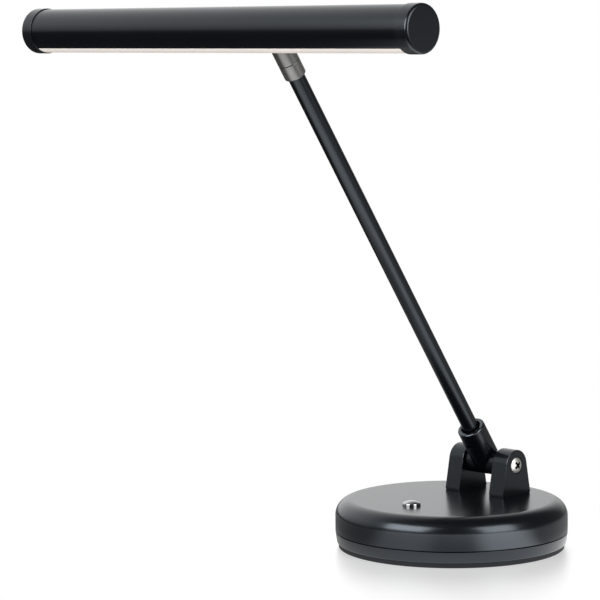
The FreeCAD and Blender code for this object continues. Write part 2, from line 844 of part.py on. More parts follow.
def head_tube():
    """Round extrusion with the light slot below and the web that carries the board."""
    shell = bar(tube_diameter, tube_length).cut(bar(tube_diameter - 2 * tube_wall, tube_length + 2 * overrun))
    shell = shell.cut(sector(tube_radius, slot_half_angle, tube_length + 2 * overrun))
    web = block(tube_length, tube_diameter, web_thickness, bottom=web_bottom)
    web = web.common(bar(tube_diameter - tube_wall, tube_length))
    profile = shell.fuse(web).removeSplitter()
    for side in (-1, 1):
        start = V(side * pad_screw_pitch / 2, tube_radius - 2 * tube_wall, 0)
        profile = profile.cut(rod(m3 + 2 * thread_gap, 4 * tube_wall, start, Y))
    return on_head(profile)


def diffuser():
    """Opal strip that closes the slot on the tube's own curve, with lips behind its edges."""
    inner_diameter = tube_diameter - 2 * diffuser_thickness
    strip = bar(tube_diameter, tube_length).cut(bar(inner_diameter, tube_length + 2 * overrun))
    edge_angle = slot_half_angle - math.degrees(slip_gap / tube_radius)
    strip = strip.common(sector(tube_radius, edge_angle, tube_length))
    lip_outer = inner_diameter
    lip = bar(lip_outer, tube_length).cut(bar(lip_outer - 2 * diffuser_lip, tube_length + 2 * overrun))
    lip = lip.common(sector(tube_radius, slot_half_angle + diffuser_lip_angle, tube_length))
    return on_head(strip.fuse(lip).removeSplitter())


def led_board():
    length = tube_length - 2 * led_board_setback
    return on_head(block(length, led_board_width, led_board_thickness, bottom=web_bottom - led_board_thickness))


def leds():
    """Evenly spaced light emitters on the underside of the board."""
    span = tube_length - 2 * led_board_setback - 2 * led_end
    step = span / (led_count - 1)
    bottom = web_bottom - led_board_thickness - led_height
    chips = []
    for index in range(led_count):
        chips.append(on_head(block(led_length, led_width, led_height, index * step - span / 2, 0, bottom)))
    return chips


def end_cap(side):
    """Turned cap, proud of the tube, with a D-shaped spigot above the web."""
    body = rod(cap_diameter, cap_length)
    body = rounded(body, cap_round, cap_diameter / 2, cap_length)
    body = bevelled(body, cap_back_bevel, cap_diameter / 2, 0)
    spigot_diameter = tube_diameter - 2 * tube_wall - 2 * slip_gap
    spigot = rod(spigot_diameter, cap_spigot, V(0, 0, -cap_spigot))
    hollow_diameter = spigot_diameter - 2 * cap_wall
    hollow = rod(hollow_diameter, cap_spigot + cap_length - cap_wall, V(0, 0, -cap_spigot))
    cap = facing(body.fuse(spigot).cut(hollow), X * side, V(side * tube_length / 2, 0, 0))
    below = block(cap_spigot, cap_diameter, cap_diameter, side * (tube_length - cap_spigot) / 2, 0,
                  -web_drop + slip_gap - cap_diameter)
    return on_head(cap.cut(below))


def head_bracket():
    """Saddle on the tube's back, tapered to the fork of the tilt joint."""
    fork_width = eye_thickness + 2 * fork_gap + 2 * fork_cheek
    pad = block(pad_width, tube_radius + pad_thickness, pad_height, 0,
                (tube_radius + pad_thickness) / 2, -pad_height / 2)
    uprights = [edge for edge in pad.Edges if edge.BoundBox.YLength > tube_radius / 2]
    pad = pad.makeFillet(pad_thickness, uprights)
    reach = head_reach - fork_reach
    near = rectangle_at(bracket_neck_width, pad_height, 0)
    far = rectangle_at(fork_width, 2 * eye_radius, reach)
    taper = Part.makeLoft([near, far], True, True)
    cheek_block = block(fork_width, fork_reach, 2 * eye_radius, 0, reach + fork_reach / 2, -eye_radius)
    tip = rod(2 * eye_radius, fork_width, V(-fork_width / 2, head_reach, 0), X)
    body = pad.fuse([taper, cheek_block, tip]).removeSplitter()
    slot = block(eye_thickness + 2 * fork_gap, fork_reach + 2 * eye_radius, 2 * cap_diameter, 0,
                 reach + fork_reach / 2 + eye_radius, -cap_diameter)
    core = bar(tube_diameter + 2 * running_gap, pad_width + 2 * overrun)
    pin_hole = rod(tilt_pin + 2 * thread_gap, fork_width + 2 * overrun,
                   V(-fork_width / 2 - overrun, head_reach, 0), X)
    holes = [rod(m3 + clearance_hole, 2 * tube_radius, V(side * pad_screw_pitch / 2, 0, 0), Y)
             for side in (-1, 1)]
    return on_head(body.cut([slot, core, pin_hole] + holes))


def rectangle_at(width, height, along):
    """Closed rectangle in an XZ plane at this distance behind the head's axis."""
    corners = [V(side_x * width / 2, along, side_z * height / 2)
               for side_x, side_z in ((-1, -1), (1, -1), (1, 1), (-1, 1))]
    return polygon(corners)


def bracket_screws():
    seat = tube_radius + pad_thickness
    return [on_head(cap_screw(m3, bracket_screw_grip + pad_thickness,
                              V(side * pad_screw_pitch / 2, seat, 0), Y * -1))
            for side in (-1, 1)]


def tilt_screw():
    """Headed pin through the fork and the eye."""
    half = eye_thickness / 2 + fork_gap + fork_cheek
    shank = rod(tilt_pin, 2 * half + tilt_nut_height, V(-half - tilt_nut_height, 0, 0), X)
    head = rod(tilt_head, tilt_head_height, V(half, 0, 0), X)
    pin = shank.fuse(head).removeSplitter()
    pin.translate(V(0, head_reach, 0))
    return on_head(pin)


def tilt_nut():
    """Nut on the far side of the tilt joint."""
    half = eye_thickness / 2 + fork_gap + fork_cheek
    nut = hexagon(tilt_nut_flats).extrude(V(0, 0, tilt_nut_height))
    nut = nut.cut(rod(tilt_pin + 2 * thread_gap, tilt_nut_height + 2 * overrun, V(0, 0, -overrun)))
    return on_head(facing(nut, X * -1, V(-half, head_reach, 0)))


def write(name, shape):
    solids = shape if isinstance(shape, list) else [shape]
    shapes = []
    for solid in solids:
        shapes.extend(solid.Solids)
    result = shapes[0] if len(shapes) == 1 else Part.makeCompound(shapes)
    result.exportStep(f"parts/{name}.step")


def main():
    os.makedirs("parts", exist_ok=True)
    write("base_cover", base_cover())
    write("base_tray", base_tray())
    write("ballast_weight", ballast_weight())
    write("foot_pad", foot_pad())
    write("cover_screws", cover_screws())
    write("ballast_screws", ballast_screws())
    write("ear_left", ear_left())
    write("ear_right", ear_right())
    write("ear_screws", ear_screws())
    write("hinge_journal", hinge_journal())
    write("hinge_washers", hinge_washers())
    write("lock_washer", lock_washer())
    write("hinge_screw", hinge_screw())
    write("button_cap", button_cap())
    write("switch_plunger", switch_plunger())
    write("switch_body", switch_body())
    write("switch_clip", switch_clip())
    write("driver_board", driver_board())
    write("board_screws", board_screws())
    write("power_inlet", power_inlet())
    write("inlet_nut", inlet_nut())
    write("arm_socket", arm_socket())
    write("set_screw", set_screw())
    write("arm_tube", arm_tube())
    write("arm_cable", arm_cable())
    write("knuckle_base", knuckle_base())
    write("swivel_stud", swivel_stud())
    write("swivel_rings", swivel_rings())
    write("swivel_nut", swivel_nut())
    write("neck_sleeve", neck_sleeve())
    write("neck_eye", neck_eye())
    write("head_tube", head_tube())
    write("diffuser", diffuser())
    write("led_board", led_board())
    write("leds", leds())
    write("end_cap_left", end_cap(-1))
    write("end_cap_right", end_cap(1))
    write("head_bracket", head_bracket())
    write("bracket_screws", bracket_screws())
    write("tilt_screw", tilt_screw())
    write("tilt_nut", tilt_nut())


main()
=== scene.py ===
"""Finished pieces, finishes, stage and camera for the adjustable piano lamp.

The lamp's CAD frame is loaded at the top. Sizes that the frame already holds are read from it, and
the small rounds and finishes that it leaves out are properties with the value of this lamp.
"""

import math

import bmesh
import bpy
from bpy.props import FloatProperty, FloatVectorProperty, IntProperty, PointerProperty
from mathutils import Euler, Matrix, Vector


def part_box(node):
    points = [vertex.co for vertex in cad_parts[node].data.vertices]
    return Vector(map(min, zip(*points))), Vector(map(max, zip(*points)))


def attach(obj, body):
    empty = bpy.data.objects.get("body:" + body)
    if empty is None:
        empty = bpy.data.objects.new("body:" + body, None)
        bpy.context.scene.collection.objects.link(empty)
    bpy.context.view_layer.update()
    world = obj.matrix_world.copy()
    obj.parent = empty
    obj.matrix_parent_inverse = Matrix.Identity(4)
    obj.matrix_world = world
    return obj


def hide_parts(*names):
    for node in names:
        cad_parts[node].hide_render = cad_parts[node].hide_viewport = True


bl_info = {
    "name": "Piano Lamp",
    "version": (1, 0, 0),
    "blender": (4, 5, 0),
    "location": "3D View > Sidebar > Piano Lamp",
    "description": "Builds the pieces, finishes and stage of an adjustable piano lamp",
    "category": "Object",
}

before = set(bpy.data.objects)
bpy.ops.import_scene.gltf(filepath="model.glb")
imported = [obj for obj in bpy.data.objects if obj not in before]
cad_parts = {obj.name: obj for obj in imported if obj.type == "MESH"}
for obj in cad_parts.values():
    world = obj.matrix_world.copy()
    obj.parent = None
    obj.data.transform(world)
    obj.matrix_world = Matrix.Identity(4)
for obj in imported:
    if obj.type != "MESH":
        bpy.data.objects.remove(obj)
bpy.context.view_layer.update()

FULL_TURN = 2 * math.pi
WELD = 1e-6  # metres between points that count as one
OVERRUN = 0.001  # how far a cutter reaches past the solid that it cuts
FIT_GAP = 0.00015  # gap between parts that slip together
HOLE_STEPS = 64  # faces round a large hole
SCREW_HOLE_STEPS = 48  # faces round a screw's hole
TURNED_STEPS = 96  # faces round a small turned part
INLET_FLANGE = 0.0012  # thickness of the power inlet's flange, which is let into the cover
INLET_BARREL = 0.75  # hole for the inlet's barrel, as a share of its flange
BUTTON_HOLE_WALLS = 3  # the button's hole is this many walls deep, as the shoulder is thicker
WEB_SHARE = 0.96  # width of the board's web, as a share of the tube's bore
OUTLINE_LIMIT = 0.1  # most that the faces of an ear's outline look along the hinge, as a cosine
SIDE_LIMIT = 0.995  # least that its flat sides look along the hinge
# The hinge screw's cross recess is painted dark with a black steel finish as painted shade.
PAINTED_SHADE_RECESS_START = 0.000075  # a face this far below the screw's dome is in its recess
NORMAL_WEIGHT = 100  # large faces decide how the rounds beside them are shaded
FLAT_ANGLE = math.radians(0.5)  # faces of a CAD node that meet at less than this are made one


# Places read from the frame

def centre(node):
    """Middle of a CAD node's box."""
    low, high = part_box(node)
    return (low + high) / 2


def span(node, place):
    """Lowest and highest corner of a CAD node, seen from a piece's own frame."""
    inverse = place.inverted()
    corners = [inverse @ vertex.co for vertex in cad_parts[node].data.vertices]
    low = Vector([min(corner[axis] for corner in corners) for axis in range(3)])
    high = Vector([max(corner[axis] for corner in corners) for axis in range(3)])
    return low, high


def hinge_place():
    """Frame of the arm: its origin is on the hinge, and its Z runs up the arm."""
    hinge = centre("hinge_washers")
    tilt = centre("tilt_nut")
    lean = math.atan2(hinge.y - tilt.y, tilt.z - hinge.z)
    return Matrix.Translation((0, hinge.y, hinge.z)) @ Matrix.Rotation(lean, 4, "X")


def head_place():
    """Frame of the head: its origin is on the tube's axis, and its X runs along the tube."""
    low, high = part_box("head_tube")
    radius = (high.y - low.y) / 2
    return Matrix.Translation((0, (low.y + high.y) / 2, high.z - radius))


HINGE = hinge_place()
HEAD = head_place()
ALONG_X = Matrix.Rotation(math.pi / 2, 4, "Y")
ALONG_Y = Matrix.Rotation(-math.pi / 2, 4, "X")
SCREW = Matrix.Translation(HINGE.translation) @ ALONG_X
INLET = Matrix.Translation((0, 0, centre("power_inlet").z)) @ ALONG_Y


# Settings

def metres(name, description, default, low=0.0, high=1.0):
    """Setting for a length, with its lowest and highest value."""
    return FloatProperty(name=name, description=description, default=default, min=low, max=high,
                         unit="LENGTH", subtype="DISTANCE")


def degrees(name, description, default, low=-180, high=180):
    """Setting for an angle, which is given in degrees and kept in radians."""
    return FloatProperty(name=name, description=description, default=math.radians(default),
                         min=math.radians(low), max=math.radians(high), unit="ROTATION",
                         subtype="ANGLE")


def amount(name, description, default):
    """Setting for a brightness or another strength that may pass 1."""
    return FloatProperty(name=name, description=description, default=default, min=0, max=10)


def factor(name, description, default):
    """Setting for a share between 0 and 1."""
    return FloatProperty(name=name, description=description, default=default, min=0, max=1,
                         subtype="FACTOR")


def tint(name, description, default):
    """Setting for a colour."""
    return FloatVectorProperty(name=name, description=description, default=default, min=0, max=1,
                               subtype="COLOR")


def faces(description, default):
    """Setting for the number of faces round a turned piece."""
    return IntProperty(name="Steps", description=description, default=default, min=24, max=512)


class LampBase(bpy.types.PropertyGroup):
    """Sizes of the base and the ears on it"""
    seam_height: metres(
        "Seam height", "Height of the seam between cover and lower ring", 0.0102, 0.005, 0.025)
    seam_gap: metres("Seam gap", "Open gap between cover and lower ring", 0.0006, 0.0001, 0.002)
    seam_bevel: metres("Seam bevel", "Bevel on both sides of the seam", 0.0002, 0.0001, 0.002)
    shoulder: metres("Shoulder", "Radius between the cover's top and its wall", 0.010, 0.001, 0.018)
    wall: metres("Wall", "Thickness of the cover", 0.0025, 0.0005, 0.006)
    ring_taper: metres(
        "Ring taper", "How far the lower ring draws in towards its bottom", 0.0010, 0.0, 0.003)
    ring_edge: metres("Ring edge", "Round on the lower ring's bottom edge", 0.0008, 0.0001, 0.003)
    pad_edge: metres("Pad edge", "Round on the foot pad's bottom edge", 0.0006, 0.0001, 0.002)
    button_gap: metres(
        "Button gap", "Gap round the button in the cover's top", 0.0003, 0.0001, 0.001)
    ear_edge: metres("Ear edge", "Round on the ears' edges", 0.0006, 0.0001, 0.002)
    steps: faces("Faces round the base", 192)


class LampArm(bpy.types.PropertyGroup):
    """Sizes of the arm, its socket and the swivel"""
    socket_rim: metres("Socket rim", "Round on the socket's upper edge", 0.0009, 0.0001, 0.002)
    socket_foot: metres("Socket foot", "Round on the socket's lower edge", 0.0016, 0.0001, 0.003)
    socket_mouth: metres(
        "Socket mouth", "Diameter of the recess round the arm", 0.0124, 0.011, 0.016)
    mouth_edge: metres("Mouth edge", "Round on the edge of that recess", 0.0003, 0.0001, 0.001)
    mouth_depth: metres("Mouth depth", "Depth of the recess round the arm", 0.0045, 0.001, 0.010)
    knuckle_round: metres(
        "Knuckle round", "Round where the knuckle meets the arm", 0.0010, 0.0001, 0.003)
    ring_groove: metres(
        "Ring groove", "Bevel on both sides of the swivel's seam", 0.0002, 0.0001, 0.001)
    neck_edge: metres("Neck edge", "Round on the swivel's upper end", 0.0004, 0.0001, 0.002)
    tube_bore: metres("Tube bore", "Inner radius of the arm's tube", 0.0035, 0.001, 0.0045)
    steps: faces("Faces round the arm's pieces", 96)


class LampHead(bpy.types.PropertyGroup):
    """Sizes of the head"""
    slot_half_angle: degrees("Slot half angle", "Half of the light slot's angle", 36, 6, 86)
    tube_wall: metres("Tube wall", "Thickness of the tube", 0.0015, 0.0005, 0.004)
    web_drop: metres("Web drop", "Distance of the board's web below the axis", 0.0035, 0.0, 0.008)
    diffuser_wall: metres("Diffuser wall", "Thickness of the opal strip", 0.0016, 0.0005, 0.003)
    cap_round: metres("Cap round", "Round on the end caps' faces", 0.0017, 0.0001, 0.004)
    cap_back: metres("Cap back", "Round on the end caps' rims over the tube", 0.0002, 0.0001, 0.002)
    cap_length: metres("Cap length", "Length of an end cap past the tube", 0.009, 0.002, 0.020)
    steps: faces("Faces round the head", 144)


class LampFinish(bpy.types.PropertyGroup):
    """Colours of the finishes"""
    enamel: tint("Enamel", "Gloss black of the base and the head tube", (0.0010, 0.0013, 0.0020))
    casting: tint(
        "Casting", "Fine matte black of the ears and the socket", (0.0028, 0.0033, 0.0042))
    moulding: tint("Moulding", "Satin black of the end caps", (0.0025, 0.0030, 0.0038))
    nickel: tint("Nickel", "Brushed dark nickel of the swivel", (0.180, 0.178, 0.172))
    chrome: tint("Chrome", "Polished chrome of the button", (0.39, 0.39, 0.40))
    gleam: tint("Gleam", "Cool tint of what the black finishes reflect", (0.80, 0.90, 1.0))
    steel: tint("Steel", "Plated steel of the screws", (0.62, 0.61, 0.59))
    opal: tint("Opal", "Warm white of the diffuser", (0.69, 0.628, 0.585))


class LampStage(bpy.types.PropertyGroup):
    """Camera, lights and floor"""
    camera_azimuth: degrees(
        "Camera azimuth", "Angle of the camera round the lamp, from its front", 44.908)
    camera_pitch: degrees("Camera pitch", "Angle of the camera below the horizon", 5.929)
    camera_roll: degrees("Camera roll", "Turn of the camera about its own line of sight", -0.437)
    camera_place: FloatVectorProperty(
        name="Camera place", description="Where the camera stands",
        default=(1.07398, -1.20902, 0.32183), unit="LENGTH", subtype="TRANSLATION")
    lens: FloatProperty(
        name="Lens", description="Focal length on a 36 mm sensor", default=158.21, min=20, max=300)
    key_radiance: amount("Key level", "Brightness of the softbox on the left", 7.8)
    fill_radiance: amount("Fill level", "Brightness of the softbox on the right", 6.0)
    floor_tone: factor("Floor tone", "Share of the floor's white that a shadow can take away", 0.2)
    floor_white: amount("Floor white", "Brightness of the open floor before its sheen", 1.62)
    floor_roughness: factor("Floor roughness", "Roughness of the floor's sheen", 0.40)
    floor_gloss: amount("Floor gloss", "Strength of the floor's sheen", 2.1)
    floor_mirror: factor("Floor mirror", "Most that the floor mirrors at a flat angle", 0.64)
    floor_ior: FloatProperty(
        name="Floor IOR", description="Index of refraction that sets how much the floor mirrors",
        default=1.8, min=1, max=3)
    # floor_glow, side_glow, key_sheen, fill_sheen, dark_level and far_level set painted light. This is an
    # emission on the floor that only gloss sees, standing for its pools of light, its dark shade and the
    # softboxes' sheen.
    floor_glow: amount("Floor glow", "Brightness of the lit floor, which only gloss sees", 1.35)
    side_glow: amount(
        "Side glow", "Brightness of the lit floor on the right, which only gloss sees", 2.2)
    key_sheen: amount(
        "Key sheen", "Sheen of the left softbox on the floor, which only gloss sees", 1.2)
    fill_sheen: amount(
        "Fill sheen", "Sheen of the right softbox on the floor, which only gloss sees", 4.0)
    dark_level: amount(
        "Dark level", "Brightness of the studio's dark side, which only gloss sees", 0.03)
    far_level: amount(
        "Far level", "Brightness of the far floor on the right, which only gloss sees", 0.42)


# Solids made with bmesh

def arc(centre_radius, centre_height, radius, start, end, steps):
    """Points of an arc in the (radius, height) plane, from one angle to another in degrees."""
    points = []
    for step in range(steps + 1):
        angle = math.radians(start + (end - start) * step / steps)
        points.append((centre_radius + radius * math.cos(angle),
                       centre_height + radius * math.sin(angle)))
    return points


def dome(radius, rise, top, steps):
    """Points of a shallow dome from its middle to its rim, and the radius of its sphere."""
    crown = (radius ** 2 + rise ** 2) / (2 * rise)
    rim = math.degrees(math.acos(radius / crown))
    return arc(0, top - crown, crown, 90, rim, steps), crown


def turned(outline, steps):
    """Solid of revolution round Z. An outline that ends on the axis is left open there."""
    bm = bmesh.new()
    vertices = [bm.verts.new((radius, 0, height)) for radius, height in outline]
    pairs = list(zip(vertices, vertices[1:]))
    if outline[0][0] > 0:
        pairs.append((vertices[-1], vertices[0]))
    edges = [bm.edges.new(pair) for pair in pairs]
    bmesh.ops.spin(bm, geom=vertices + edges, cent=(0, 0, 0), axis=(0, 0, 1), angle=FULL_TURN,
                   steps=steps, use_merge=True)
    return welded(bm)


def welded(bm):
    """Merge doubles, drop slivers and point every face outwards."""
    bmesh.ops.remove_doubles(bm, verts=bm.verts[:], dist=WELD)
    bmesh.ops.dissolve_degenerate(bm, dist=WELD / 10, edges=bm.edges[:])
    bmesh.ops.recalc_face_normals(bm, faces=bm.faces[:])
    return bm


def cylinder(radius, low, high, steps):
    """Plain round bar along Z, for holes and as a start for other shapes."""
    return turned([(0, low), (radius, low), (radius, high), (0, high)], steps)


def brick(low, high):
    """Rectangular solid between two corners."""
    bm = bmesh.new()
    size = Vector(high) - Vector(low)
    middle = (Vector(high) + Vector(low)) / 2
    shape = Matrix.Translation(middle) @ Matrix.Diagonal((*size, 1))
    bmesh.ops.create_cube(bm, size=1, matrix=shape)
    return bm


def swept(section, turn, steps):
    """Solid made by turning a flat outline round X through less than a full turn."""
    bm = bmesh.new()
    face = bm.faces.new([bm.verts.new(point) for point in section])
    bmesh.ops.spin(bm, geom=[face] + face.edges[:] + face.verts[:], cent=(0, 0, 0), axis=(1, 0, 0),
                   angle=turn, steps=steps, use_merge=False)
    return welded(bm)


def pushed(outline, depth):
    """Solid made by extruding a flat outline by a vector."""
    bm = bmesh.new()
    face = bm.faces.new([bm.verts.new(point) for point in outline])
    made = bmesh.ops.extrude_face_region(bm, geom=[face])["geom"]
    moved = [item for item in made if isinstance(item, bmesh.types.BMVert)]
    bmesh.ops.translate(bm, verts=moved, vec=depth)
    return welded(bm)


def placed(bm, matrix):
    """The same solid, moved into place."""
    bmesh.ops.transform(bm, matrix=matrix, verts=bm.verts[:])
    return bm


def rounded(bm, edges, size, segments):
    """Round these edges."""
    bmesh.ops.bevel(bm, geom=edges, offset=size, offset_type="OFFSET", segments=segments, profile=0.5,
                    affect="EDGES", material=-1, clamp_overlap=True)
    return bm


def rings(bm, radius, height, slack=1e-5):
    """Edges that run round Z with this radius at this height."""
    found = []
    for edge in bm.edges:
        places = [(math.hypot(vertex.co.x, vertex.co.y), vertex.co.z) for vertex in edge.verts]
        if all(abs(reach - radius) < slack and abs(level - height) < slack for reach, level in places):
            found.append(edge)
    return found


def eased(bm, radius, height, size, segments):
    """Round the edge that runs round Z with this radius at this height."""
    return rounded(bm, rings(bm, radius, height), size, segments)


def corners(bm, limit=math.radians(30)):
    """Edges whose faces meet at more than this angle."""
    return [edge for edge in bm.edges if edge.is_manifold and edge.calc_face_angle() > limit]


def loose_object(bm):
    """Object made of a solid, which is used up."""
    mesh = bpy.data.meshes.new("part")
    bm.to_mesh(mesh)
    bm.free()
    made = bpy.data.objects.new("part", mesh)
    bpy.context.scene.collection.objects.link(made)
    return made


def combined(bm, others, operation):
    """Cut solids from a solid, or join them to it."""
    target = loose_object(bm)
    tools = [loose_object(other) for other in others]
    for tool in tools:
        modifier = target.modifiers.new("combine", "BOOLEAN")
        modifier.operation = operation
        modifier.solver = "EXACT"
        modifier.object = tool
    finished = target.evaluated_get(bpy.context.evaluated_depsgraph_get())
    mesh = bpy.data.meshes.new_from_object(finished)
    result = bmesh.new()
    result.from_mesh(mesh)
    for item in [target] + tools:
        bpy.data.objects.remove(item)
    if not result.faces:
        raise RuntimeError("a cut or join left nothing")
    return welded(result)


def cut(bm, *holes):
    return combined(bm, holes, "DIFFERENCE")


def joined(bm, *others):
    return combined(bm, others, "UNION")


def piece(name, bm, body, material, nodes):
    """Make a finished object of a solid and let it stand for its CAD nodes."""
    old = bpy.data.objects.get(name)
    if old:
        bpy.data.objects.remove(old)
    welded(bm)
    sharp = set(corners(bm))
    for edge in bm.edges:
        edge.smooth = edge not in sharp
    for face in bm.faces:
        face.smooth = True
    mesh = bpy.data.meshes.new(name)
    bm.to_mesh(mesh)
    bm.free()
    mesh.materials.append(material)
    made = bpy.data.objects.new(name, mesh)
    bpy.context.scene.collection.objects.link(made)
    weighted = made.modifiers.new("Weighted normals", "WEIGHTED_NORMAL")
    weighted.keep_sharp = True
    weighted.weight = NORMAL_WEIGHT
    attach(made, body)
    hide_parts(*nodes)
    return made


def second_finish(made, material, chosen):
    """Give the faces that pass this test another finish."""
    made.data.materials.append(material)
    for face in made.data.polygons:
        if chosen(face):
            face.material_index = 1


# Finishes. Grain is how many times a noise repeats in a metre, and relief is a depth in metres.

NOISE_ZONE = (0.3, 0.7)  # values between which most of a noise lies
FINE_DETAIL = 4.0  # layers of noise in the surface
BROAD_DETAIL = 2.0  # layers of noise in the colour
BROAD_GRAIN = 40  # how many times coarser the colour varies than the surface
RELIEF_STRENGTH = 0.5  # share of the relief's depth that shows
RISING = (0.0, 1.0)  # levels of a change from nothing to all, and back
FALLING = (1.0, 0.0)


def blank(name):
    """Material of this name with a fresh shader node."""
    material = bpy.data.materials.get(name) or bpy.data.materials.new(name)
    material.use_nodes = True
    tree = material.node_tree
    tree.nodes.clear()
    shader = tree.nodes.new("ShaderNodeBsdfPrincipled")
    output = tree.nodes.new("ShaderNodeOutputMaterial")
    tree.links.new(shader.outputs["BSDF"], output.inputs["Surface"])
    return material, tree, shader


def noise(tree, scale, detail=3.0, stretch=(1, 1, 1), turn=(0, 0, 0)):
    """Noise on the piece's own coordinates, stretched and turned to follow its making."""
    coordinates = tree.nodes.new("ShaderNodeTexCoord")
    mapping = tree.nodes.new("ShaderNodeMapping")
    mapping.vector_type = "TEXTURE"
    mapping.inputs["Rotation"].default_value = turn
    mapping.inputs["Scale"].default_value = stretch
    texture = tree.nodes.new("ShaderNodeTexNoise")
    texture.inputs["Scale"].default_value = scale
    texture.inputs["Detail"].default_value = detail
    tree.links.new(coordinates.outputs["Object"], mapping.inputs["Vector"])
    tree.links.new(mapping.outputs["Vector"], texture.inputs["Vector"])
    return texture.outputs["Fac"]


def ranged(tree, source, levels, zone=NOISE_ZONE, curve="LINEAR"):
    """Change from one level to the other as a value, by default a noise, crosses its zone."""
    node = tree.nodes.new("ShaderNodeMapRange")
    node.interpolation_type = curve
    for name, value in zip(("From Min", "From Max", "To Min", "To Max"), (*zone, *levels)):
        node.inputs[name].default_value = value
    tree.links.new(source, node.inputs["Value"])
    return node.outputs["Result"]


def tinted(tree, shader, source, colour, spread):
    """Vary the base colour a little round its own value."""
    node = tree.nodes.new("ShaderNodeMix")
    node.data_type = "RGBA"
    dark = [channel * (1 - spread) for channel in colour]
    light = [min(channel * (1 + spread), 1) for channel in colour]
    node.inputs["A"].default_value = (*dark, 1)
    node.inputs["B"].default_value = (*light, 1)
    tree.links.new(source, node.inputs["Factor"])
    tree.links.new(node.outputs["Result"], shader.inputs["Base Color"])


def embossed(tree, shader, source, strength, depth):
    """Fine relief from a noise."""
    node = tree.nodes.new("ShaderNodeBump")
    node.inputs["Strength"].default_value = strength
    node.inputs["Distance"].default_value = depth
    tree.links.new(source, node.inputs["Height"])
    tree.links.new(node.outputs["Normal"], shader.inputs["Normal"])


def finish(name, colour, roughness, grain, relief, metallic=0.0, spread=0.12, stretch=(1, 1, 1),
           turn=(0, 0, 0), sheen=0.5):
    """Finish with its own grain: varied colour and roughness, and a relief of that depth."""
    material, tree, shader = blank(name)
    fine = noise(tree, grain, FINE_DETAIL, stretch, turn)
    broad = noise(tree, grain / BROAD_GRAIN, BROAD_DETAIL)
    shader.inputs["Metallic"].default_value = metallic
    shader.inputs["Specular IOR Level"].default_value = sheen
    if not metallic:
        shader.inputs["Specular Tint"].default_value = (*colours().gleam, 1)
    tinted(tree, shader, ranged(tree, broad, RISING), colour, spread)
    tree.links.new(ranged(tree, fine, roughness), shader.inputs["Roughness"])
    embossed(tree, shader, fine, RELIEF_STRENGTH, relief)
    return material


def colours():
    return bpy.context.scene.lamp_finish


def arm_turn():
    return tuple(HINGE.to_euler())


def gloss_enamel():
    """Smooth black enamel with a faint orange peel."""
    return finish("gloss_enamel", colours().enamel, (0.22, 0.26), grain=900, relief=0.000001)


def tube_enamel():
    return finish("tube_enamel", colours().enamel, (0.22, 0.25), grain=1100, relief=0.0000008)


def cast_enamel():
    """Fine-grained satin black on castings."""
    return finish("cast_enamel", colours().casting, (0.20, 0.28), grain=2600, relief=0.000005)


def edge_enamel():
    """Smoother black where the paint has drawn thin over an edge."""
    return finish("edge_enamel", colours().casting, (0.14, 0.18), grain=2600, relief=0.000001,
                  sheen=0.9)


def socket_enamel():
    """Satin black on the arm's socket, smoother than the ears."""
    return finish("socket_enamel", colours().enamel, (0.20, 0.26), grain=1800, relief=0.000002)


def arm_enamel():
    """Satin black on the drawn arm, with a faint grain along it."""
    return finish("arm_enamel", colours().enamel, (0.24, 0.30), grain=1500, relief=0.000002,
                  stretch=(1, 1, 12), turn=arm_turn())


def cap_moulding():
    """Semi-gloss moulded plastic."""
    return finish("cap_moulding", colours().moulding, (0.22, 0.27), grain=1600, relief=0.0000006)


def brushed_nickel():
    """Dark nickel, brushed round the arm's axis."""
    return finish("brushed_nickel", colours().nickel, (0.22, 0.30), grain=2400, relief=0.0000015,
                  metallic=0.76, spread=0.08, stretch=(14, 14, 1), turn=arm_turn())


def polished_chrome():
    return finish("polished_chrome", colours().chrome, (0.07, 0.12), grain=1800, relief=0.000001,
                  metallic=1.0, spread=0.03)


def plated_steel():
    return finish("plated_steel", colours().steel, (0.40, 0.50), grain=2600, relief=0.000004,
                  metallic=1.0, spread=0.08)


# Blackened steel of the grub screw. The same finish is painted into the hinge screw's cross recess as
# shade.
def blackened_steel():
    return finish("blackened_steel", (0.030, 0.030, 0.032), (0.3, 0.4), grain=1800,
                  relief=0.000006, metallic=1.0, spread=0.1)


def foot_rubber():
    return finish("foot_rubber", (0.008, 0.0082, 0.009), (0.55, 0.75), grain=2400, relief=0.00004,
                  sheen=0.2)


def ballast_steel():
    return finish("ballast_steel", (0.20, 0.195, 0.19), (0.4, 0.6), grain=500, relief=0.00004,
                  metallic=1.0, spread=0.2)


def washer_nylon():
    return finish("washer_nylon", (0.55, 0.53, 0.48), (0.4, 0.5), grain=1500, relief=0.00001)


def black_nylon():
    return finish("black_nylon", (0.010, 0.010, 0.011), (0.4, 0.5), grain=1500, relief=0.00001)


def lead_sleeve():
    return finish("lead_sleeve", (0.012, 0.012, 0.013), (0.35, 0.5), grain=1200, relief=0.00001)


def board_lacquer():
    return finish("board_lacquer", (0.012, 0.085, 0.035), (0.3, 0.45), grain=900, relief=0.00001,
                  spread=0.2)


def board_white():
    return finish("board_white", (0.72, 0.72, 0.69), (0.35, 0.45), grain=900, relief=0.00001,
                  spread=0.04)


def phosphor():
    return finish("phosphor", (0.80, 0.62, 0.22), (0.4, 0.5), grain=1800, relief=0.00001,
                  spread=0.05)


def inlet_plastic():
    return finish("inlet_plastic", (0.012, 0.012, 0.013), (0.35, 0.5), grain=1600, relief=0.00001)


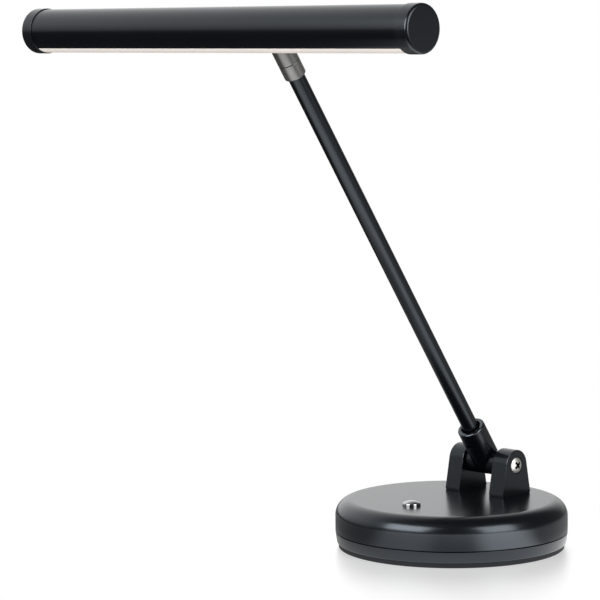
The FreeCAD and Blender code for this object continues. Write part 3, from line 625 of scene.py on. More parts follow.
def opal_strip():
    """Milky plastic that carries a little of the light behind it."""
    material, tree, shader = blank("opal_strip")
    cloud = noise(tree, scale=60)
    fine = noise(tree, scale=1400)
    tinted(tree, shader, ranged(tree, cloud, RISING), colours().opal, spread=0.02)
    tree.links.new(ranged(tree, fine, (0.38, 0.46)), shader.inputs["Roughness"])
    embossed(tree, shader, fine, strength=0.4, depth=0.000005)
    shader.inputs["Subsurface Weight"].default_value = 0.25
    shader.inputs["Subsurface Radius"].default_value = (0.004, 0.0036, 0.003)
    shader.inputs["Subsurface Scale"].default_value = 1.0
    shader.inputs["Emission Color"].default_value = (1.0, 0.93, 0.84, 1)
    shader.inputs["Emission Strength"].default_value = 0.06
    return material


# Operators, one for each piece or group of like pieces

class LAMP_OT_cover(bpy.types.Operator):
    """Enamelled cover of the base with its holes for the button and the inlet"""
    bl_idname = "piano_lamp.cover"
    bl_label = "Base cover"

    def execute(self, context):
        base = context.scene.lamp_base
        low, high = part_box("base_cover")
        radius = (high.x - low.x) / 2
        inner = radius - base.wall
        ceiling = high.z - base.wall
        flat = radius - base.shoulder - base.wall / 2
        rim = base.seam_height + base.seam_gap / 2
        outline = [(0, high.z), (flat, high.z), (radius, high.z), (radius, rim), (inner, rim),
                   (inner, ceiling), (0, ceiling)]
        cover = turned(outline, base.steps)
        eased(cover, inner, ceiling, base.shoulder - base.wall, segments=8)
        eased(cover, radius, high.z, base.shoulder, segments=20)
        eased(cover, radius, rim, base.seam_bevel, segments=2)
        cover = cut(cover, self.button_hole(base, high.z), self.inlet_hole())
        piece("cover", cover, "base", gloss_enamel(), ["base_cover"])
        return {"FINISHED"}

    def button_hole(self, base, top):
        middle = centre("button_cap")
        radius = button_radius() + base.button_gap
        hole = cylinder(radius, top - BUTTON_HOLE_WALLS * base.wall, top + OVERRUN, HOLE_STEPS)
        return placed(hole, Matrix.Translation((middle.x, middle.y, 0)))

    def inlet_hole(self):
        low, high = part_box("power_inlet")
        radius = (high.z - low.z) / 2 + FIT_GAP
        hole = cylinder(radius, high.y - INLET_FLANGE, high.y + OVERRUN, HOLE_STEPS)
        barrel = cylinder(radius * INLET_BARREL, low.y, high.y, HOLE_STEPS)
        return placed(joined(hole, barrel), INLET)


def button_radius():
    """Radius of the button above its flange."""
    place = Matrix.Translation(centre("button_cap"))
    top = span("button_cap", place)[1].z
    reach = [vertex.co.xy - place.translation.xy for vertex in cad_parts["button_cap"].data.vertices
             if vertex.co.z - place.translation.z > top / 2]
    return max(offset.length for offset in reach)


class LAMP_OT_lower_ring(bpy.types.Operator):
    """Lower ring that closes the base, and the pad under it"""
    bl_idname = "piano_lamp.lower_ring"
    bl_label = "Lower ring and foot pad"

    def execute(self, context):
        base = context.scene.lamp_base
        low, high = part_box("base_tray")
        radius = (high.x - low.x) / 2
        lip = radius - base.wall - FIT_GAP
        inside = lip - base.wall
        bottom = radius - base.ring_taper
        rim = base.seam_height - base.seam_gap / 2
        outline = [(0, low.z), (bottom, low.z), (radius, rim), (lip, rim), (lip, high.z),
                   (inside, high.z), (inside, low.z + base.wall), (0, low.z + base.wall)]
        ring = turned(outline, base.steps)
        eased(ring, bottom, low.z, base.ring_edge, segments=5)
        eased(ring, radius, rim, base.seam_bevel, segments=2)
        piece("lower_ring", ring, "base", gloss_enamel(), ["base_tray"])
        low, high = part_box("foot_pad")
        radius = (high.x - low.x) / 2
        pad = cylinder(radius, low.z, high.z, base.steps)
        eased(pad, radius, low.z, base.pad_edge, segments=4)
        piece("pad", pad, "base", foot_rubber(), ["foot_pad"])
        return {"FINISHED"}


class LAMP_OT_ears(bpy.types.Operator):
    """Two tapered ears of the hinge, the right one with a counterbore for its screw"""
    bl_idname = "piano_lamp.ears"
    bl_label = "Hinge ears"

    foot_height: metres("Foot height", "Upright part of an ear above the cover", 0.0016)
    foot_gap: metres("Foot gap", "Height of the shadow gap between an ear and the cover", 0.0006)
    gap_depth: metres("Gap depth", "Depth of that gap at the front and the back", 0.0006)
    screw_gap: metres("Screw gap", "Gap round the head of the hinge screw", 0.00045)
    shank_hole: metres("Shank hole", "Radius of the hole for the screw's shank", 0.00258)
    counterbore: metres("Counterbore", "Depth of the recess for the screw's head", 0.003)

    def execute(self, context):
        edge = context.scene.lamp_base.ear_edge
        for node in ("ear_left", "ear_right"):
            low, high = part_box(node)
            ear = pushed(self.outline(low, high), Vector((high.x - low.x, 0, 0)))
            upper = [item for item in corners(ear) if not self.at_foot(item, low.z)]
            rounded(ear, upper, edge, segments=3)
            holes = [self.groove(low, high, side) for side in (low.y, high.y)]
            if node == "ear_right":
                holes.append(self.counterbored(high.x))
            ear = cut(ear, *holes)
            name = node.replace("ear_", "hinge_ear_")
            made = piece(name, ear, "base", cast_enamel(), [node])
            second_finish(made, edge_enamel(), self.on_edge)
        return {"FINISHED"}

    def on_edge(self, face):
        """True for a face of the rounds, which looks neither along the hinge nor square to it."""
        return OUTLINE_LIMIT < abs(face.normal.x) < SIDE_LIMIT

    def outline(self, low, high):
        """Side view: upright foot, straight taper and a round tip about the hinge."""
        hinge = HINGE.translation
        half = (high.y - low.y) / 2
        middle = (high.y + low.y) / 2
        tip = high.z - hinge.z
        rise = hinge.z - low.z - self.foot_height
        slope = math.atan2(rise, half) + math.asin(tip / math.hypot(half, rise))
        start = math.degrees(math.pi / 2 - slope)
        points = arc(middle, hinge.z, tip, start, 180 - start, steps=28)
        points += [(low.y, low.z + self.foot_height), (low.y, low.z),
                   (high.y, low.z), (high.y, low.z + self.foot_height)]
        return [(low.x, reach, level) for reach, level in points]

    def at_foot(self, edge, bottom):
        """True for an edge that touches the cover."""
        return min(vertex.co.z for vertex in edge.verts) < bottom + WELD

    def groove(self, low, high, side):
        """Shadow gap along the ear's foot on this side."""
        start = (low.x - OVERRUN, side - self.gap_depth, low.z - OVERRUN)
        return brick(start, (high.x + OVERRUN, side + self.gap_depth, low.z + self.foot_gap))

    def counterbored(self, face):
        """Recess for the screw's head with the hole for its shank."""
        head = span("hinge_screw", SCREW)[1].x + self.screw_gap
        recess = cylinder(head, face - self.counterbore, face + OVERRUN, HOLE_STEPS)
        bore = cylinder(self.shank_hole, 0, face, SCREW_HOLE_STEPS)
        return placed(joined(recess, bore), SCREW)


class LAMP_OT_hinge(bpy.types.Operator):
    """Domed screw of the hinge with its washers"""
    bl_idname = "piano_lamp.hinge"
    bl_label = "Hinge screw and washers"

    head_height: metres("Head height", "Height of the screw's domed head", 0.0032)
    head_edge: metres("Head edge", "Height of the head's upright rim", 0.0018)
    head_round: metres("Head round", "Round between the head's rim and its dome", 0.0003)
    shank_radius: metres("Shank radius", "Radius of the screw's shank", 0.0025)
    recess_length: metres("Recess length", "Length of each arm of the cross recess", 0.0054)
    recess_width: metres("Recess width", "Width of each arm of the cross recess", 0.0016)
    recess_depth: metres("Recess depth", "Depth of the cross recess", 0.0024)
    recess_turn: degrees("Recess turn", "Angle at which the tightened screw has stopped", 40)

    def execute(self, context):
        low, high = span("hinge_screw", SCREW)
        radius = high.x
        outline, crown = dome(radius, self.head_height - self.head_edge, high.z, steps=12)
        seat = high.z - self.head_height
        outline += [(radius, seat), (self.shank_radius, seat), (self.shank_radius, low.z), (0, low.z)]
        screw = turned(outline, TURNED_STEPS)
        eased(screw, radius, seat + self.head_edge, self.head_round, segments=3)
        slots = [self.slot(high.z, self.recess_turn + turn) for turn in (0, math.pi / 2)]
        screw = placed(cut(screw, *slots), SCREW)
        made = piece("hinge_bolt", screw, "arm", plated_steel(), ["hinge_screw"])

        # Painted shade: the recess's faces get near-black steel, though their plating is the same as the
        # head's.
        def in_painted_shade_recess(face):
            """True for a face near the screw's axis that lies below the dome."""
            spot = SCREW.inverted() @ face.center
            depth = crown - (spot - Vector((0, 0, high.z - crown))).length
            return depth > PAINTED_SHADE_RECESS_START and math.hypot(spot.x, spot.y) < self.recess_length / 2

        second_finish(made, blackened_steel(), in_painted_shade_recess)
        smooth_copy("spring_washer", "lock_washer", "base", plated_steel())
        smooth_copy("friction_washers", "hinge_washers", "base", black_nylon())
        return {"FINISHED"}

    def slot(self, top, turn):
        long = self.recess_length / 2
        wide = self.recess_width / 2
        arm = brick((-long, -wide, top - self.recess_depth), (long, wide, top + OVERRUN))
        return placed(arm, Matrix.Rotation(turn, 4, "Z"))


def copied(node):
    """Solid from a CAD node, with its flat areas made whole."""
    bm = bmesh.new()
    bm.from_mesh(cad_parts[node].data)
    bmesh.ops.remove_doubles(bm, verts=bm.verts[:], dist=WELD)
    bmesh.ops.dissolve_limit(bm, angle_limit=FLAT_ANGLE, use_dissolve_boundaries=False,
                             verts=bm.verts[:], edges=bm.edges[:], delimit=set())
    return bm


def smooth_copy(name, node, body, material):
    return piece(name, copied(node), body, material, [node])


class LAMP_OT_button(bpy.types.Operator):
    """Chromed push button with a low crown"""
    bl_idname = "piano_lamp.button"
    bl_label = "Push button"

    crown: metres("Crown", "Rise of the button's crown", 0.00165)
    edge: metres("Edge", "Round on the button's rim", 0.00035)
    flange: metres("Flange", "Thickness of the flange that keeps the button in", 0.0012)
    flange_edge: metres("Flange edge", "Round on that flange", 0.000175)
    seat: metres("Seat", "Radius of the seat for the plunger", 0.00202)

    def execute(self, context):
        low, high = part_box("button_cap")
        wide = (high.x - low.x) / 2
        radius = button_radius()
        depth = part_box("switch_plunger")[1].z
        outline = dome(radius, self.crown, high.z, steps=8)[0]
        outline += [(radius, low.z + self.flange), (wide, low.z + self.flange), (wide, low.z),
                    (self.seat, low.z), (self.seat, depth), (0, depth)]
        cap = turned(outline, TURNED_STEPS)
        eased(cap, radius, high.z - self.crown, self.edge, segments=4)
        eased(cap, wide, low.z + self.flange, self.flange_edge, segments=2)
        placed(cap, Matrix.Translation((0, centre("button_cap").y, 0)))
        piece("push_button", cap, "button", polished_chrome(), ["button_cap"])
        return {"FINISHED"}


class LAMP_OT_inlet(bpy.types.Operator):
    """Power inlet in the back of the base, with its centre pin"""
    bl_idname = "piano_lamp.inlet"
    bl_label = "Power inlet"

    flange: metres("Flange", "Thickness of the inlet's flange", INLET_FLANGE)
    flange_round: metres("Flange round", "Round on the flange's edge", 0.00035)
    thread: metres("Thread", "Radius of the inlet's barrel", 0.0039)
    bore: metres("Bore", "Radius of the inlet's bore", 0.0031)
    bore_round: metres("Bore round", "Round on the bore's edge", 0.0003)
    bore_depth: metres("Bore depth", "Depth of the inlet's bore", 0.009)
    pin: metres("Pin", "Radius of the centre pin", 0.001)
    pin_round: metres("Pin round", "Round on the centre pin's tip", 0.0004)
    barrel: metres("Barrel", "Length of the barrel behind the flange", 0.012)

    def execute(self, context):
        low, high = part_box("power_inlet")
        face = high.y
        wide = (high.z - low.z) / 2
        seat = face - self.flange
        floor = face - self.bore_depth
        tip = face - self.pin
        outline = [(0, tip), (self.pin, tip), (self.pin, floor), (self.bore, floor), (self.bore, face),
                   (wide, face), (wide, seat), (self.thread, seat), (self.thread, seat - self.barrel),
                   (0, seat - self.barrel)]
        jack = turned(outline, TURNED_STEPS)
        eased(jack, wide, face, self.flange_round, segments=4)
        eased(jack, self.bore, face, self.bore_round, segments=3)
        eased(jack, self.pin, tip, self.pin_round, segments=3)
        made = piece("inlet", placed(jack, INLET), "base", inlet_plastic(), ["power_inlet"])

        def on_pin(face):
            spot = INLET.inverted() @ face.center
            return math.hypot(spot.x, spot.y) < self.pin + WELD and spot.z > floor + WELD

        second_finish(made, plated_steel(), on_pin)
        return {"FINISHED"}


class LAMP_OT_arm(bpy.types.Operator):
    """Socket of the arm with its cross barrel, the grub screw and the drawn tube"""
    bl_idname = "piano_lamp.arm"
    bl_label = "Arm and socket"

    floor: metres("Socket floor", "Height of the socket's floor above the hinge", 0.008)
    journal: metres("Journal bore", "Radius of the bore for the hinge journal", 0.00385)
    journal_depth: metres("Journal depth", "Depth of the bore for the hinge journal", 0.007)
    grub_along: metres("Grub screw place", "Distance of the grub screw from the hinge", 0.019)
    grub_radius: metres("Grub screw radius", "Radius of the grub screw's hole", 0.00202)

    def execute(self, context):
        arm = context.scene.lamp_arm
        made = piece("socket", self.tee(arm), "arm", socket_enamel(), ["arm_socket"])
        rim = span("arm_socket", HINGE)[1].z - arm.socket_rim

        def on_rim(face):
            return (HINGE.inverted() @ face.center).z > rim

        second_finish(made, edge_enamel(), on_rim)
        low, high = span("arm_tube", HINGE)
        outline = [(arm.tube_bore, low.z), (high.x, low.z), (high.x, high.z), (arm.tube_bore, high.z)]
        tube = turned(outline, arm.steps)
        piece("drawn_arm", placed(tube, HINGE), "arm", arm_enamel(), ["arm_tube"])
        smooth_copy("grub_screw", "set_screw", "arm", blackened_steel())
        return {"FINISHED"}

    def tee(self, arm):
        low, high = span("arm_socket", HINGE)
        radius = high.y
        top = high.z
        inner = span("arm_tube", HINGE)[1].x + FIT_GAP
        mouth = arm.socket_mouth / 2
        outline = [(0, 0), (radius, 0), (radius, top), (mouth, top), (mouth, top - arm.mouth_depth),
                   (inner, top - arm.mouth_depth), (inner, self.floor), (0, self.floor)]
        sleeve = turned(outline, arm.steps)
        eased(sleeve, radius, top, arm.socket_rim, segments=5)
        eased(sleeve, mouth, top, arm.mouth_edge, segments=3)
        eased(sleeve, radius, 0, arm.socket_foot, segments=5)
        barrel = placed(cylinder(-low.z, low.x, high.x, arm.steps), ALONG_X)
        bore = placed(cylinder(self.journal, low.x - OVERRUN, low.x + self.journal_depth, HOLE_STEPS),
                      ALONG_X)
        grub = placed(cylinder(self.grub_radius, 0, radius + OVERRUN, SCREW_HOLE_STEPS),
                      Matrix.Translation((0, 0, self.grub_along)) @ ALONG_Y.inverted())
        return placed(cut(joined(sleeve, barrel), bore, grub), HINGE)


class LAMP_OT_swivel(bpy.types.Operator):
    """Brushed halves of the swivel below the head"""
    bl_idname = "piano_lamp.swivel"
    bl_label = "Swivel"

    stud_gap: metres("Stud gap", "Gap between the stud and the turning half", 0.00005)
    cap: metres("Cap", "Thickness of the fixed half's end", 0.0028)
    floor: metres("Floor", "Thickness of the turning half's floor", 0.0035)
    bore: metres("Bore", "Radius of the turning half's cup", 0.0051)

    def execute(self, context):
        arm = context.scene.lamp_arm
        stud = span("swivel_stud", HINGE)[1].x
        tube = span("arm_tube", HINGE)[1].x
        low, high = span("knuckle_base", HINGE)
        radius = high.x
        fixed = turned([(tube, low.z), (radius, low.z), (radius, high.z), (stud, high.z),
                        (stud, high.z - self.cap), (tube, high.z - self.cap)], arm.steps)
        eased(fixed, radius, low.z, arm.knuckle_round, segments=5)
        eased(fixed, radius, high.z, arm.ring_groove, segments=2)
        piece("swivel_lower", placed(fixed, HINGE), "arm", brushed_nickel(), ["knuckle_base"])
        low, high = span("neck_sleeve", HINGE)
        hole = stud + self.stud_gap
        turning = turned([(hole, low.z), (radius, low.z), (radius, high.z), (self.bore, high.z),
                          (self.bore, low.z + self.floor), (hole, low.z + self.floor)], arm.steps)
        eased(turning, radius, low.z, arm.ring_groove, segments=2)
        eased(turning, radius, high.z, arm.neck_edge, segments=3)
        piece("swivel_upper", placed(turning, HINGE), "neck", brushed_nickel(), ["neck_sleeve"])
        return {"FINISHED"}


class LAMP_OT_tilt_joint(bpy.types.Operator):
    """Eye, fork and saddle that hold the head behind the tube, with their screws"""
    bl_idname = "piano_lamp.tilt_joint"
    bl_label = "Tilt joint"

    def execute(self, context):
        smooth_copy("tilt_eye", "neck_eye", "neck", brushed_nickel())
        smooth_copy("head_saddle", "head_bracket", "head", cast_enamel())
        smooth_copy("saddle_screws", "bracket_screws", "head", plated_steel())
        smooth_copy("tilt_pin", "tilt_screw", "head", plated_steel())
        smooth_copy("tilt_pin_nut", "tilt_nut", "head", plated_steel())
        return {"FINISHED"}


class LAMP_OT_head(bpy.types.Operator):
    """Round tube of the head with its light slot, and the opal strip that closes it"""
    bl_idname = "piano_lamp.head"
    bl_label = "Head tube and diffuser"

    lip_edge: metres("Lip edge", "Round on the edges of the light slot", 0.0002)
    strip_gap: metres("Strip gap", "Gap between the opal strip and the slot's edges", FIT_GAP)

    def execute(self, context):
        head = context.scene.lamp_head
        low, high = span("head_tube", HEAD)
        radius = high.z
        slot = head.slot_half_angle
        open_turn = FULL_TURN - 2 * slot
        shell = swept(self.section(low.x, high.x, radius - head.tube_wall, radius, slot), open_turn,
                      head.steps)
        rounded(shell, corners(shell), self.lip_edge, segments=2)
        half = radius - head.tube_wall / 2
        web_top = -head.web_drop
        side = half * WEB_SHARE
        web = brick((low.x + OVERRUN, -side, web_top - head.tube_wall), (high.x - OVERRUN, side, web_top))
        tube = placed(joined(shell, web), HEAD)
        piece("lamp_tube", tube, "head", tube_enamel(), ["head_tube"])
        low, high = span("diffuser", HEAD)
        edge = slot - self.strip_gap / radius
        strip = swept(self.section(low.x, high.x, radius - head.diffuser_wall, radius, -edge), 2 * edge,
                      head.steps // 4)
        rounded(strip, corners(strip), self.lip_edge, segments=2)
        piece("opal_strip", placed(strip, HEAD), "head", opal_strip(), ["diffuser"])
        return {"FINISHED"}

    def section(self, left, right, inner, outer, angle):
        """Wall of the tube cut lengthwise at this angle from straight down."""
        outline = [(left, inner), (right, inner), (right, outer), (left, outer)]
        down = Matrix.Rotation(angle, 3, "X") @ Vector((0, 0, -1))
        return [Vector((along, 0, 0)) + down * reach for along, reach in outline]


class LAMP_OT_end_caps(bpy.types.Operator):
    """Round caps on both ends of the head"""
    bl_idname = "piano_lamp.end_caps"
    bl_label = "End caps"

    spigot_gap: metres("Spigot gap", "Gap between a cap's spigot and the tube", FIT_GAP)

    def execute(self, context):
        head = context.scene.lamp_head
        inner = span("head_tube", HEAD)[1].z - head.tube_wall - self.spigot_gap
        for node, side in (("end_cap_left", -1), ("end_cap_right", 1)):
            low, high = span(node, HEAD)
            radius = high.z
            length = high.x - low.x
            shoulder = length - head.cap_length
            outline = [(0, 0), (inner, 0), (inner, shoulder), (radius, shoulder), (radius, length),
                       (0, length)]
            cap = turned(outline, head.steps)
            eased(cap, radius, length, head.cap_round, segments=6)
            eased(cap, radius, shoulder, head.cap_back, segments=3)
            below = brick((-radius, -radius, -OVERRUN), (radius, -head.web_drop + OVERRUN, shoulder))
            below = placed(below, Matrix.Rotation(math.pi / 2, 4, "Z"))
            cap = cut(cap, below)
            start = low.x if side > 0 else high.x
            turn = ALONG_X if side > 0 else Matrix.Rotation(math.pi, 4, "Z") @ ALONG_X
            placed(cap, HEAD @ Matrix.Translation((start, 0, 0)) @ turn)
            piece(node.replace("end_", "head_"), cap, "head", cap_moulding(), [node])
        return {"FINISHED"}


class LAMP_OT_inner_works(bpy.types.Operator):
    """Finishes of the parts inside the base, the hinge and the head"""
    bl_idname = "piano_lamp.inner_works"
    bl_label = "Inner works"

    def execute(self, context):
        finishes = (
            (plated_steel(), ("cover_screws", "ballast_screws", "ear_screws", "board_screws",
                              "hinge_journal", "inlet_nut", "swivel_stud", "swivel_nut",
                              "switch_clip")),
            (black_nylon(), ("switch_body", "swivel_rings")),
            (washer_nylon(), ("switch_plunger",)),
            (ballast_steel(), ("ballast_weight",)),
            (board_lacquer(), ("driver_board",)),
            (lead_sleeve(), ("arm_cable",)),
            (board_white(), ("led_board",)),
            (phosphor(), ("leds",)),
        )
        for material, nodes in finishes:
            for node in nodes:
                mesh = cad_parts[node].data
                mesh.materials.clear()
                mesh.materials.append(material)
        return {"FINISHED"}


# Stage. A direction is in degrees round the lamp, from its front towards +X, and the camera stands at
# 45. Left, right and behind are as the camera sees them. A zone of the floor is two distances from the
# lamp's axis, in metres. A side is a direction with the two cosines of the angle to it at which the
# side begins and is full. A view is two values of the floor's fresnel, which grows as the angle of
# sight gets flatter. Levels are what a zone, a side or a view changes from and to.

SOFTBOXES = (  # name, direction, elevation, width and height in metres, setting of its brightness
    ("Key softbox", -5, 28, (1.15, 0.95), "key_radiance"),
    ("Fill softbox", 89, 24, (0.95, 1.10), "fill_radiance"),
)
# The softboxes' sheen on the floor is painted as an emission that only gloss sees.
SHEENS = (  # side of the softbox's sheen on the floor, setting of its brightness
    ((4, 0.866, 0.99), "key_sheen"),
    ((85, 0.866, 0.99), "fill_sheen"),
)
LIGHT_DISTANCE = 1.6  # metres from the lamp to each softbox
FLOOR_REACH = 60  # metres from the lamp to the floor's edges
SENSOR_WIDTH = 36  # millimetres
AMBIENT = 0.30  # share of the backdrop's light that falls on matte surfaces
PAPER_ZONE = (0.09, 0.25)  # where the sheen fades into plain white
BEHIND_ZONE = (0.075, 0.15)  # the same behind the lamp
BEHIND_SIDE = (-135, 0.2, 0.8)
# The zones, sides, views and levels from here to SHEEN_VIEW shape painted light on the floor as gloss
# sees it. FOOT_ZONE is a painted bright floor round the lamp's foot.
FOOT_ZONE = (0.080, 0.115)  # bright foot of the lamp
FOOT_LEVELS = (1.2, 0.45)
LIT_ZONE = (0.14, 0.24)  # where the lit floor begins
LIT_SIDE = (70, -0.5, 0.9)  # where it is brightest, in front on the right
LIT_LEVELS = (0.5, 1.5)
DIM_ZONE = (0.26, 0.40)  # where the lit floor gets dimmer
DIM_LEVELS = (1.0, 0.6)
FAR_ZONE = (0.38, 0.58)  # where the studio gets dark
LEFT_ZONE = (0.15, 0.28)  # the same behind on the left
LEFT_SIDE = (-80, 0.33, 0.66)
RIGHT_ZONE = (0.10, 0.20)  # the same on the right
RIGHT_SIDE = (145, 0.5, 0.9)
FAR_SIDE = (130, 0.3, 0.8)  # far floor on the right, which is less dark in a flat view
FAR_CORE = (130, 0.72, 0.96)  # the middle of it, which is less dark in every view
FLAT_VIEW = (0.22, 0.32)
PATCH_START = (0.075, 0.13)  # brighter patch in front on the right, in a steep view
PATCH_END = (0.22, 0.36)
PATCH_SIDE = (82, 0.616, 0.866)
STEEP_VIEW = (0.20, 0.30)
SHEEN_START = (0.08, 0.12)  # sheen of the softboxes
SHEEN_LEVELS = (0.3, 1.0)
SHEEN_END = (0.45, 0.75)
SHEEN_VIEW = (0.22, 0.37)
BACKDROP_SIDE = (-97, 0.15, 0.85)  # bright side of the backdrop, behind on the left
BACKDROP_LEVELS = (0.12, 1.32)
LOW_HEIGHTS = (0.45, -0.05)  # sines of the angles above the floor between which it gets darker
LOW_LEVELS = (0.0, 0.55)
LOW_SIDE = (-30, 0.0, 0.8)  # side on which it does so, the left


def aimed(azimuth, elevation=0, distance=1):
    """Point in this direction from the lamp."""
    turn = math.radians(azimuth)
    rise = math.radians(elevation)
    way = Vector((math.sin(turn) * math.cos(rise), -math.cos(turn) * math.cos(rise), math.sin(rise)))
    return way * distance


def chained(tree, operation, *values):
    """Math nodes that take in one value or socket after the other."""
    result = values[0]
    for value in values[1:]:
        node = tree.nodes.new("ShaderNodeMath")
        node.operation = operation
        for socket, source in zip(node.inputs, (result, value)):
            if isinstance(source, (int, float)):
                socket.default_value = source
            else:
                tree.links.new(source, socket)
        result = node.outputs["Value"]
    return result


def product(tree, *values):
    return chained(tree, "MULTIPLY", *values)


def added(tree, *values):
    return chained(tree, "ADD", *values)


def largest(tree, *values):
    return chained(tree, "MAXIMUM", *values)


def smooth(tree, source, zone, levels=RISING):
    return ranged(tree, source, levels, zone, "SMOOTHSTEP")


def vector_node(tree, operation, source):
    node = tree.nodes.new("ShaderNodeVectorMath")
    node.operation = operation
    tree.links.new(source, node.inputs[0])
    return node


def toward(tree, way, side, levels=RISING):
    """Change from one level to the other as a direction turns into this side."""
    azimuth, start, end = side
    node = vector_node(tree, "DOT_PRODUCT", way)
    node.inputs[1].default_value = aimed(azimuth)
    return smooth(tree, node.outputs["Value"], (start, end), levels)


def mixed(tree, share, first, second):
    node = tree.nodes.new("ShaderNodeMixShader")
    tree.links.new(share, node.inputs["Fac"])
    tree.links.new(first, node.inputs[1])
    tree.links.new(second, node.inputs[2])
    return node.outputs["Shader"]


class LAMP_OT_stage(bpy.types.Operator):
    """White floor and backdrop, two softboxes and the camera"""
    bl_idname = "piano_lamp.stage"
    bl_label = "Stage, lights and camera"

    def execute(self, context):
        scene = context.scene
        stage = scene.lamp_stage
        scene.view_settings.view_transform = "Standard"
        self.floor(stage)
        for name, azimuth, elevation, size, radiance in SOFTBOXES:
            self.softbox(name, aimed(azimuth, elevation, LIGHT_DISTANCE), size, getattr(stage, radiance))
        self.backdrop(scene)
        self.camera(scene, stage)
        return {"FINISHED"}

    def floor(self, stage):
        bm = bmesh.new()
        bmesh.ops.create_grid(bm, x_segments=1, y_segments=1, size=FLOOR_REACH)
        made = loose_object(bm)
        made.name = "floor"
        made.data.materials.append(self.floor_paper(stage))

    def floor_paper(self, stage):
        """White sheet with a soft sheen, which fades into plain white away from the lamp."""
        material, tree, paper = blank("floor_paper")
        tone = stage.floor_tone
        rest = stage.floor_white - tone
        paper.inputs["Base Color"].default_value = (tone, tone, tone, 1)
        paper.inputs["Specular IOR Level"].default_value = 0
        paper.inputs["Roughness"].default_value = 1
        paper.inputs["Emission Color"].default_value = (rest, rest, rest, 1)
        paper.inputs["Emission Strength"].default_value = 1
        sheen = tree.nodes.new("ShaderNodeBsdfGlossy")
        sheen.inputs["Roughness"].default_value = stage.floor_roughness
        fresnel = tree.nodes.new("ShaderNodeFresnel")
        fresnel.inputs["IOR"].default_value = stage.floor_ior
        share = product(tree, fresnel.outputs["Fac"], stage.floor_gloss)
        share = chained(tree, "MINIMUM", share, stage.floor_mirror)
        near = mixed(tree, share, paper.outputs["BSDF"], sheen.outputs["BSDF"])
        place = tree.nodes.new("ShaderNodeTexCoord").outputs["Object"]
        distance = vector_node(tree, "LENGTH", place).outputs["Value"]
        way = vector_node(tree, "NORMALIZE", place).outputs["Vector"]
        behind = product(tree, smooth(tree, distance, BEHIND_ZONE), toward(tree, way, BEHIND_SIDE))
        fade = largest(tree, smooth(tree, distance, PAPER_ZONE), behind)
        white = tree.nodes.new("ShaderNodeEmission")
        seen = mixed(tree, fade, near, white.outputs["Emission"])
        # For gloss, the floor shows painted light: an emission whose level stands in for pools of light,
        # shade and the softboxes' sheen.
        painted_gloss_light = tree.nodes.new("ShaderNodeEmission")
        level = self.painted_floor_light(tree, distance, way, fresnel.outputs["Fac"], stage)
        tree.links.new(level, painted_gloss_light.inputs["Strength"])
        path = tree.nodes.new("ShaderNodeLightPath")
        final = mixed(tree, path.outputs["Is Glossy Ray"], seen, painted_gloss_light.outputs["Emission"])
        tree.links.new(final, tree.nodes["Material Output"].inputs["Surface"])
        return material

    def painted_floor_light(self, tree, distance, way, fresnel, stage):
        """Brightness of the floor in the lamp's gloss.

        It is painted light, an emission that only gloss sees: lit near the lamp, most in front on the
        right, and dark far off and at both sides.
        The sheen of both softboxes is painted on it at a flat angle.
        """
        foot = smooth(tree, distance, FOOT_ZONE, FOOT_LEVELS)
        lit = smooth(tree, distance, LIT_ZONE, (0.0, stage.floor_glow))
        near = product(tree, added(tree, foot, lit), toward(tree, way, LIT_SIDE, LIT_LEVELS),
                       smooth(tree, distance, DIM_ZONE, DIM_LEVELS))
        left = product(tree, toward(tree, way, LEFT_SIDE), smooth(tree, distance, LEFT_ZONE))
        right = product(tree, toward(tree, way, RIGHT_SIDE), smooth(tree, distance, RIGHT_ZONE))
        dark = largest(tree, left, smooth(tree, distance, FAR_ZONE), right)
        far = product(tree, toward(tree, way, FAR_SIDE), smooth(tree, fresnel, FLAT_VIEW))
        far = product(tree, largest(tree, far, toward(tree, way, FAR_CORE)), stage.far_level)
        shade = added(tree, far, stage.dark_level)
        level = added(tree, product(tree, near, chained(tree, "SUBTRACT", 1.0, dark)),
                      product(tree, dark, shade))
        patch = product(tree, smooth(tree, fresnel, STEEP_VIEW, (stage.side_glow, 0.0)),
                        toward(tree, way, PATCH_SIDE), smooth(tree, distance, PATCH_START),
                        smooth(tree, distance, PATCH_END, FALLING))
        level = largest(tree, level, patch)
        grazing = product(tree, smooth(tree, fresnel, SHEEN_VIEW),
                          smooth(tree, distance, SHEEN_START, SHEEN_LEVELS),
                          smooth(tree, distance, SHEEN_END, FALLING))
        for side, brightness in SHEENS:
            sheen = product(tree, toward(tree, way, side), getattr(stage, brightness), grazing)
            level = added(tree, level, sheen)
        return level

    def softbox(self, name, place, size, radiance):
        data = bpy.data.lights.new(name, "AREA")
        data.shape = "RECTANGLE"
        data.size, data.size_y = size
        data.energy = radiance * math.pi * data.size * data.size_y
        made = bpy.data.objects.new(name, data)
        made.location = place
        made.rotation_euler = made.location.to_track_quat("Z", "Y").to_euler()
        bpy.context.scene.collection.objects.link(made)

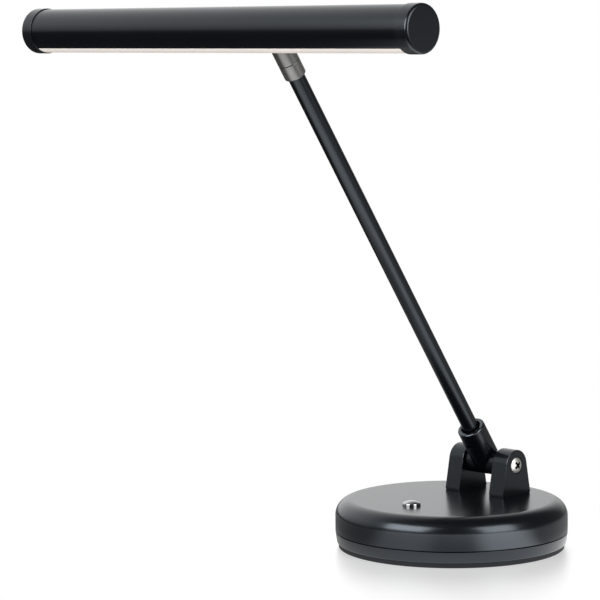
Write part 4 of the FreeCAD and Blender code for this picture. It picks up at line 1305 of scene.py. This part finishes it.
    def backdrop(self, scene):
        """White backdrop, which gloss sees as bright behind on the left and darker low down."""
        world = bpy.data.worlds.new("backdrop")
        scene.world = world
        world.use_nodes = True
        tree = world.node_tree
        background = tree.nodes["Background"]
        background.inputs["Color"].default_value = (1, 1, 1, 1)
        way = tree.nodes.new("ShaderNodeTexCoord").outputs["Generated"]
        split = tree.nodes.new("ShaderNodeSeparateXYZ")
        tree.links.new(way, split.inputs["Vector"])
        low = product(tree, smooth(tree, split.outputs["Z"], LOW_HEIGHTS, LOW_LEVELS),
                      toward(tree, way, LOW_SIDE))
        band = product(tree, toward(tree, way, BACKDROP_SIDE, BACKDROP_LEVELS),
                       chained(tree, "SUBTRACT", 1.0, low))
        path = tree.nodes.new("ShaderNodeLightPath").outputs
        shown = largest(tree, path["Is Camera Ray"], path["Is Transmission Ray"],
                        product(tree, path["Is Glossy Ray"], band),
                        product(tree, path["Is Diffuse Ray"], AMBIENT))
        tree.links.new(shown, background.inputs["Strength"])

    def camera(self, scene, stage):
        data = bpy.data.cameras.new("camera")
        data.lens = stage.lens
        data.sensor_width = SENSOR_WIDTH
        made = bpy.data.objects.new("camera", data)
        made.location = stage.camera_place
        turn = Euler((math.pi / 2 - stage.camera_pitch, 0, stage.camera_azimuth)).to_matrix()
        made.rotation_euler = (turn @ Matrix.Rotation(stage.camera_roll, 3, "Z")).to_euler()
        scene.collection.objects.link(made)
        scene.camera = made


OPERATORS = (LAMP_OT_cover, LAMP_OT_lower_ring, LAMP_OT_ears, LAMP_OT_hinge, LAMP_OT_button,
             LAMP_OT_inlet, LAMP_OT_arm, LAMP_OT_swivel, LAMP_OT_tilt_joint, LAMP_OT_head,
             LAMP_OT_end_caps, LAMP_OT_inner_works, LAMP_OT_stage)
SETTINGS = {
    "lamp_base": LampBase,
    "lamp_arm": LampArm,
    "lamp_head": LampHead,
    "lamp_finish": LampFinish,
    "lamp_stage": LampStage,
}


class LAMP_PT_panel(bpy.types.Panel):
    """Lists the lamp's pieces and its settings"""
    bl_idname = "LAMP_PT_panel"
    bl_label = "Piano Lamp"
    bl_space_type = "VIEW_3D"
    bl_region_type = "UI"
    bl_category = "Piano Lamp"

    def draw(self, context):
        for operator in OPERATORS:
            self.layout.operator(operator.bl_idname)
        for name, settings in SETTINGS.items():
            box = self.layout.box()
            for setting in settings.__annotations__:
                box.prop(getattr(context.scene, name), setting)


def register():
    for settings in SETTINGS.values():
        bpy.utils.register_class(settings)
    for operator in OPERATORS:
        bpy.utils.register_class(operator)
    bpy.utils.register_class(LAMP_PT_panel)
    for name, settings in SETTINGS.items():
        setattr(bpy.types.Scene, name, PointerProperty(type=settings))


def unregister():
    for name in SETTINGS:
        delattr(bpy.types.Scene, name)
    bpy.utils.unregister_class(LAMP_PT_panel)
    for operator in reversed(OPERATORS):
        bpy.utils.unregister_class(operator)
    for settings in reversed(list(SETTINGS.values())):
        bpy.utils.unregister_class(settings)


def main():
    register()
    for operator in OPERATORS:
        group, name = operator.bl_idname.split(".")
        getattr(getattr(bpy.ops, group), name)()


if __name__ == "__main__":
    main()
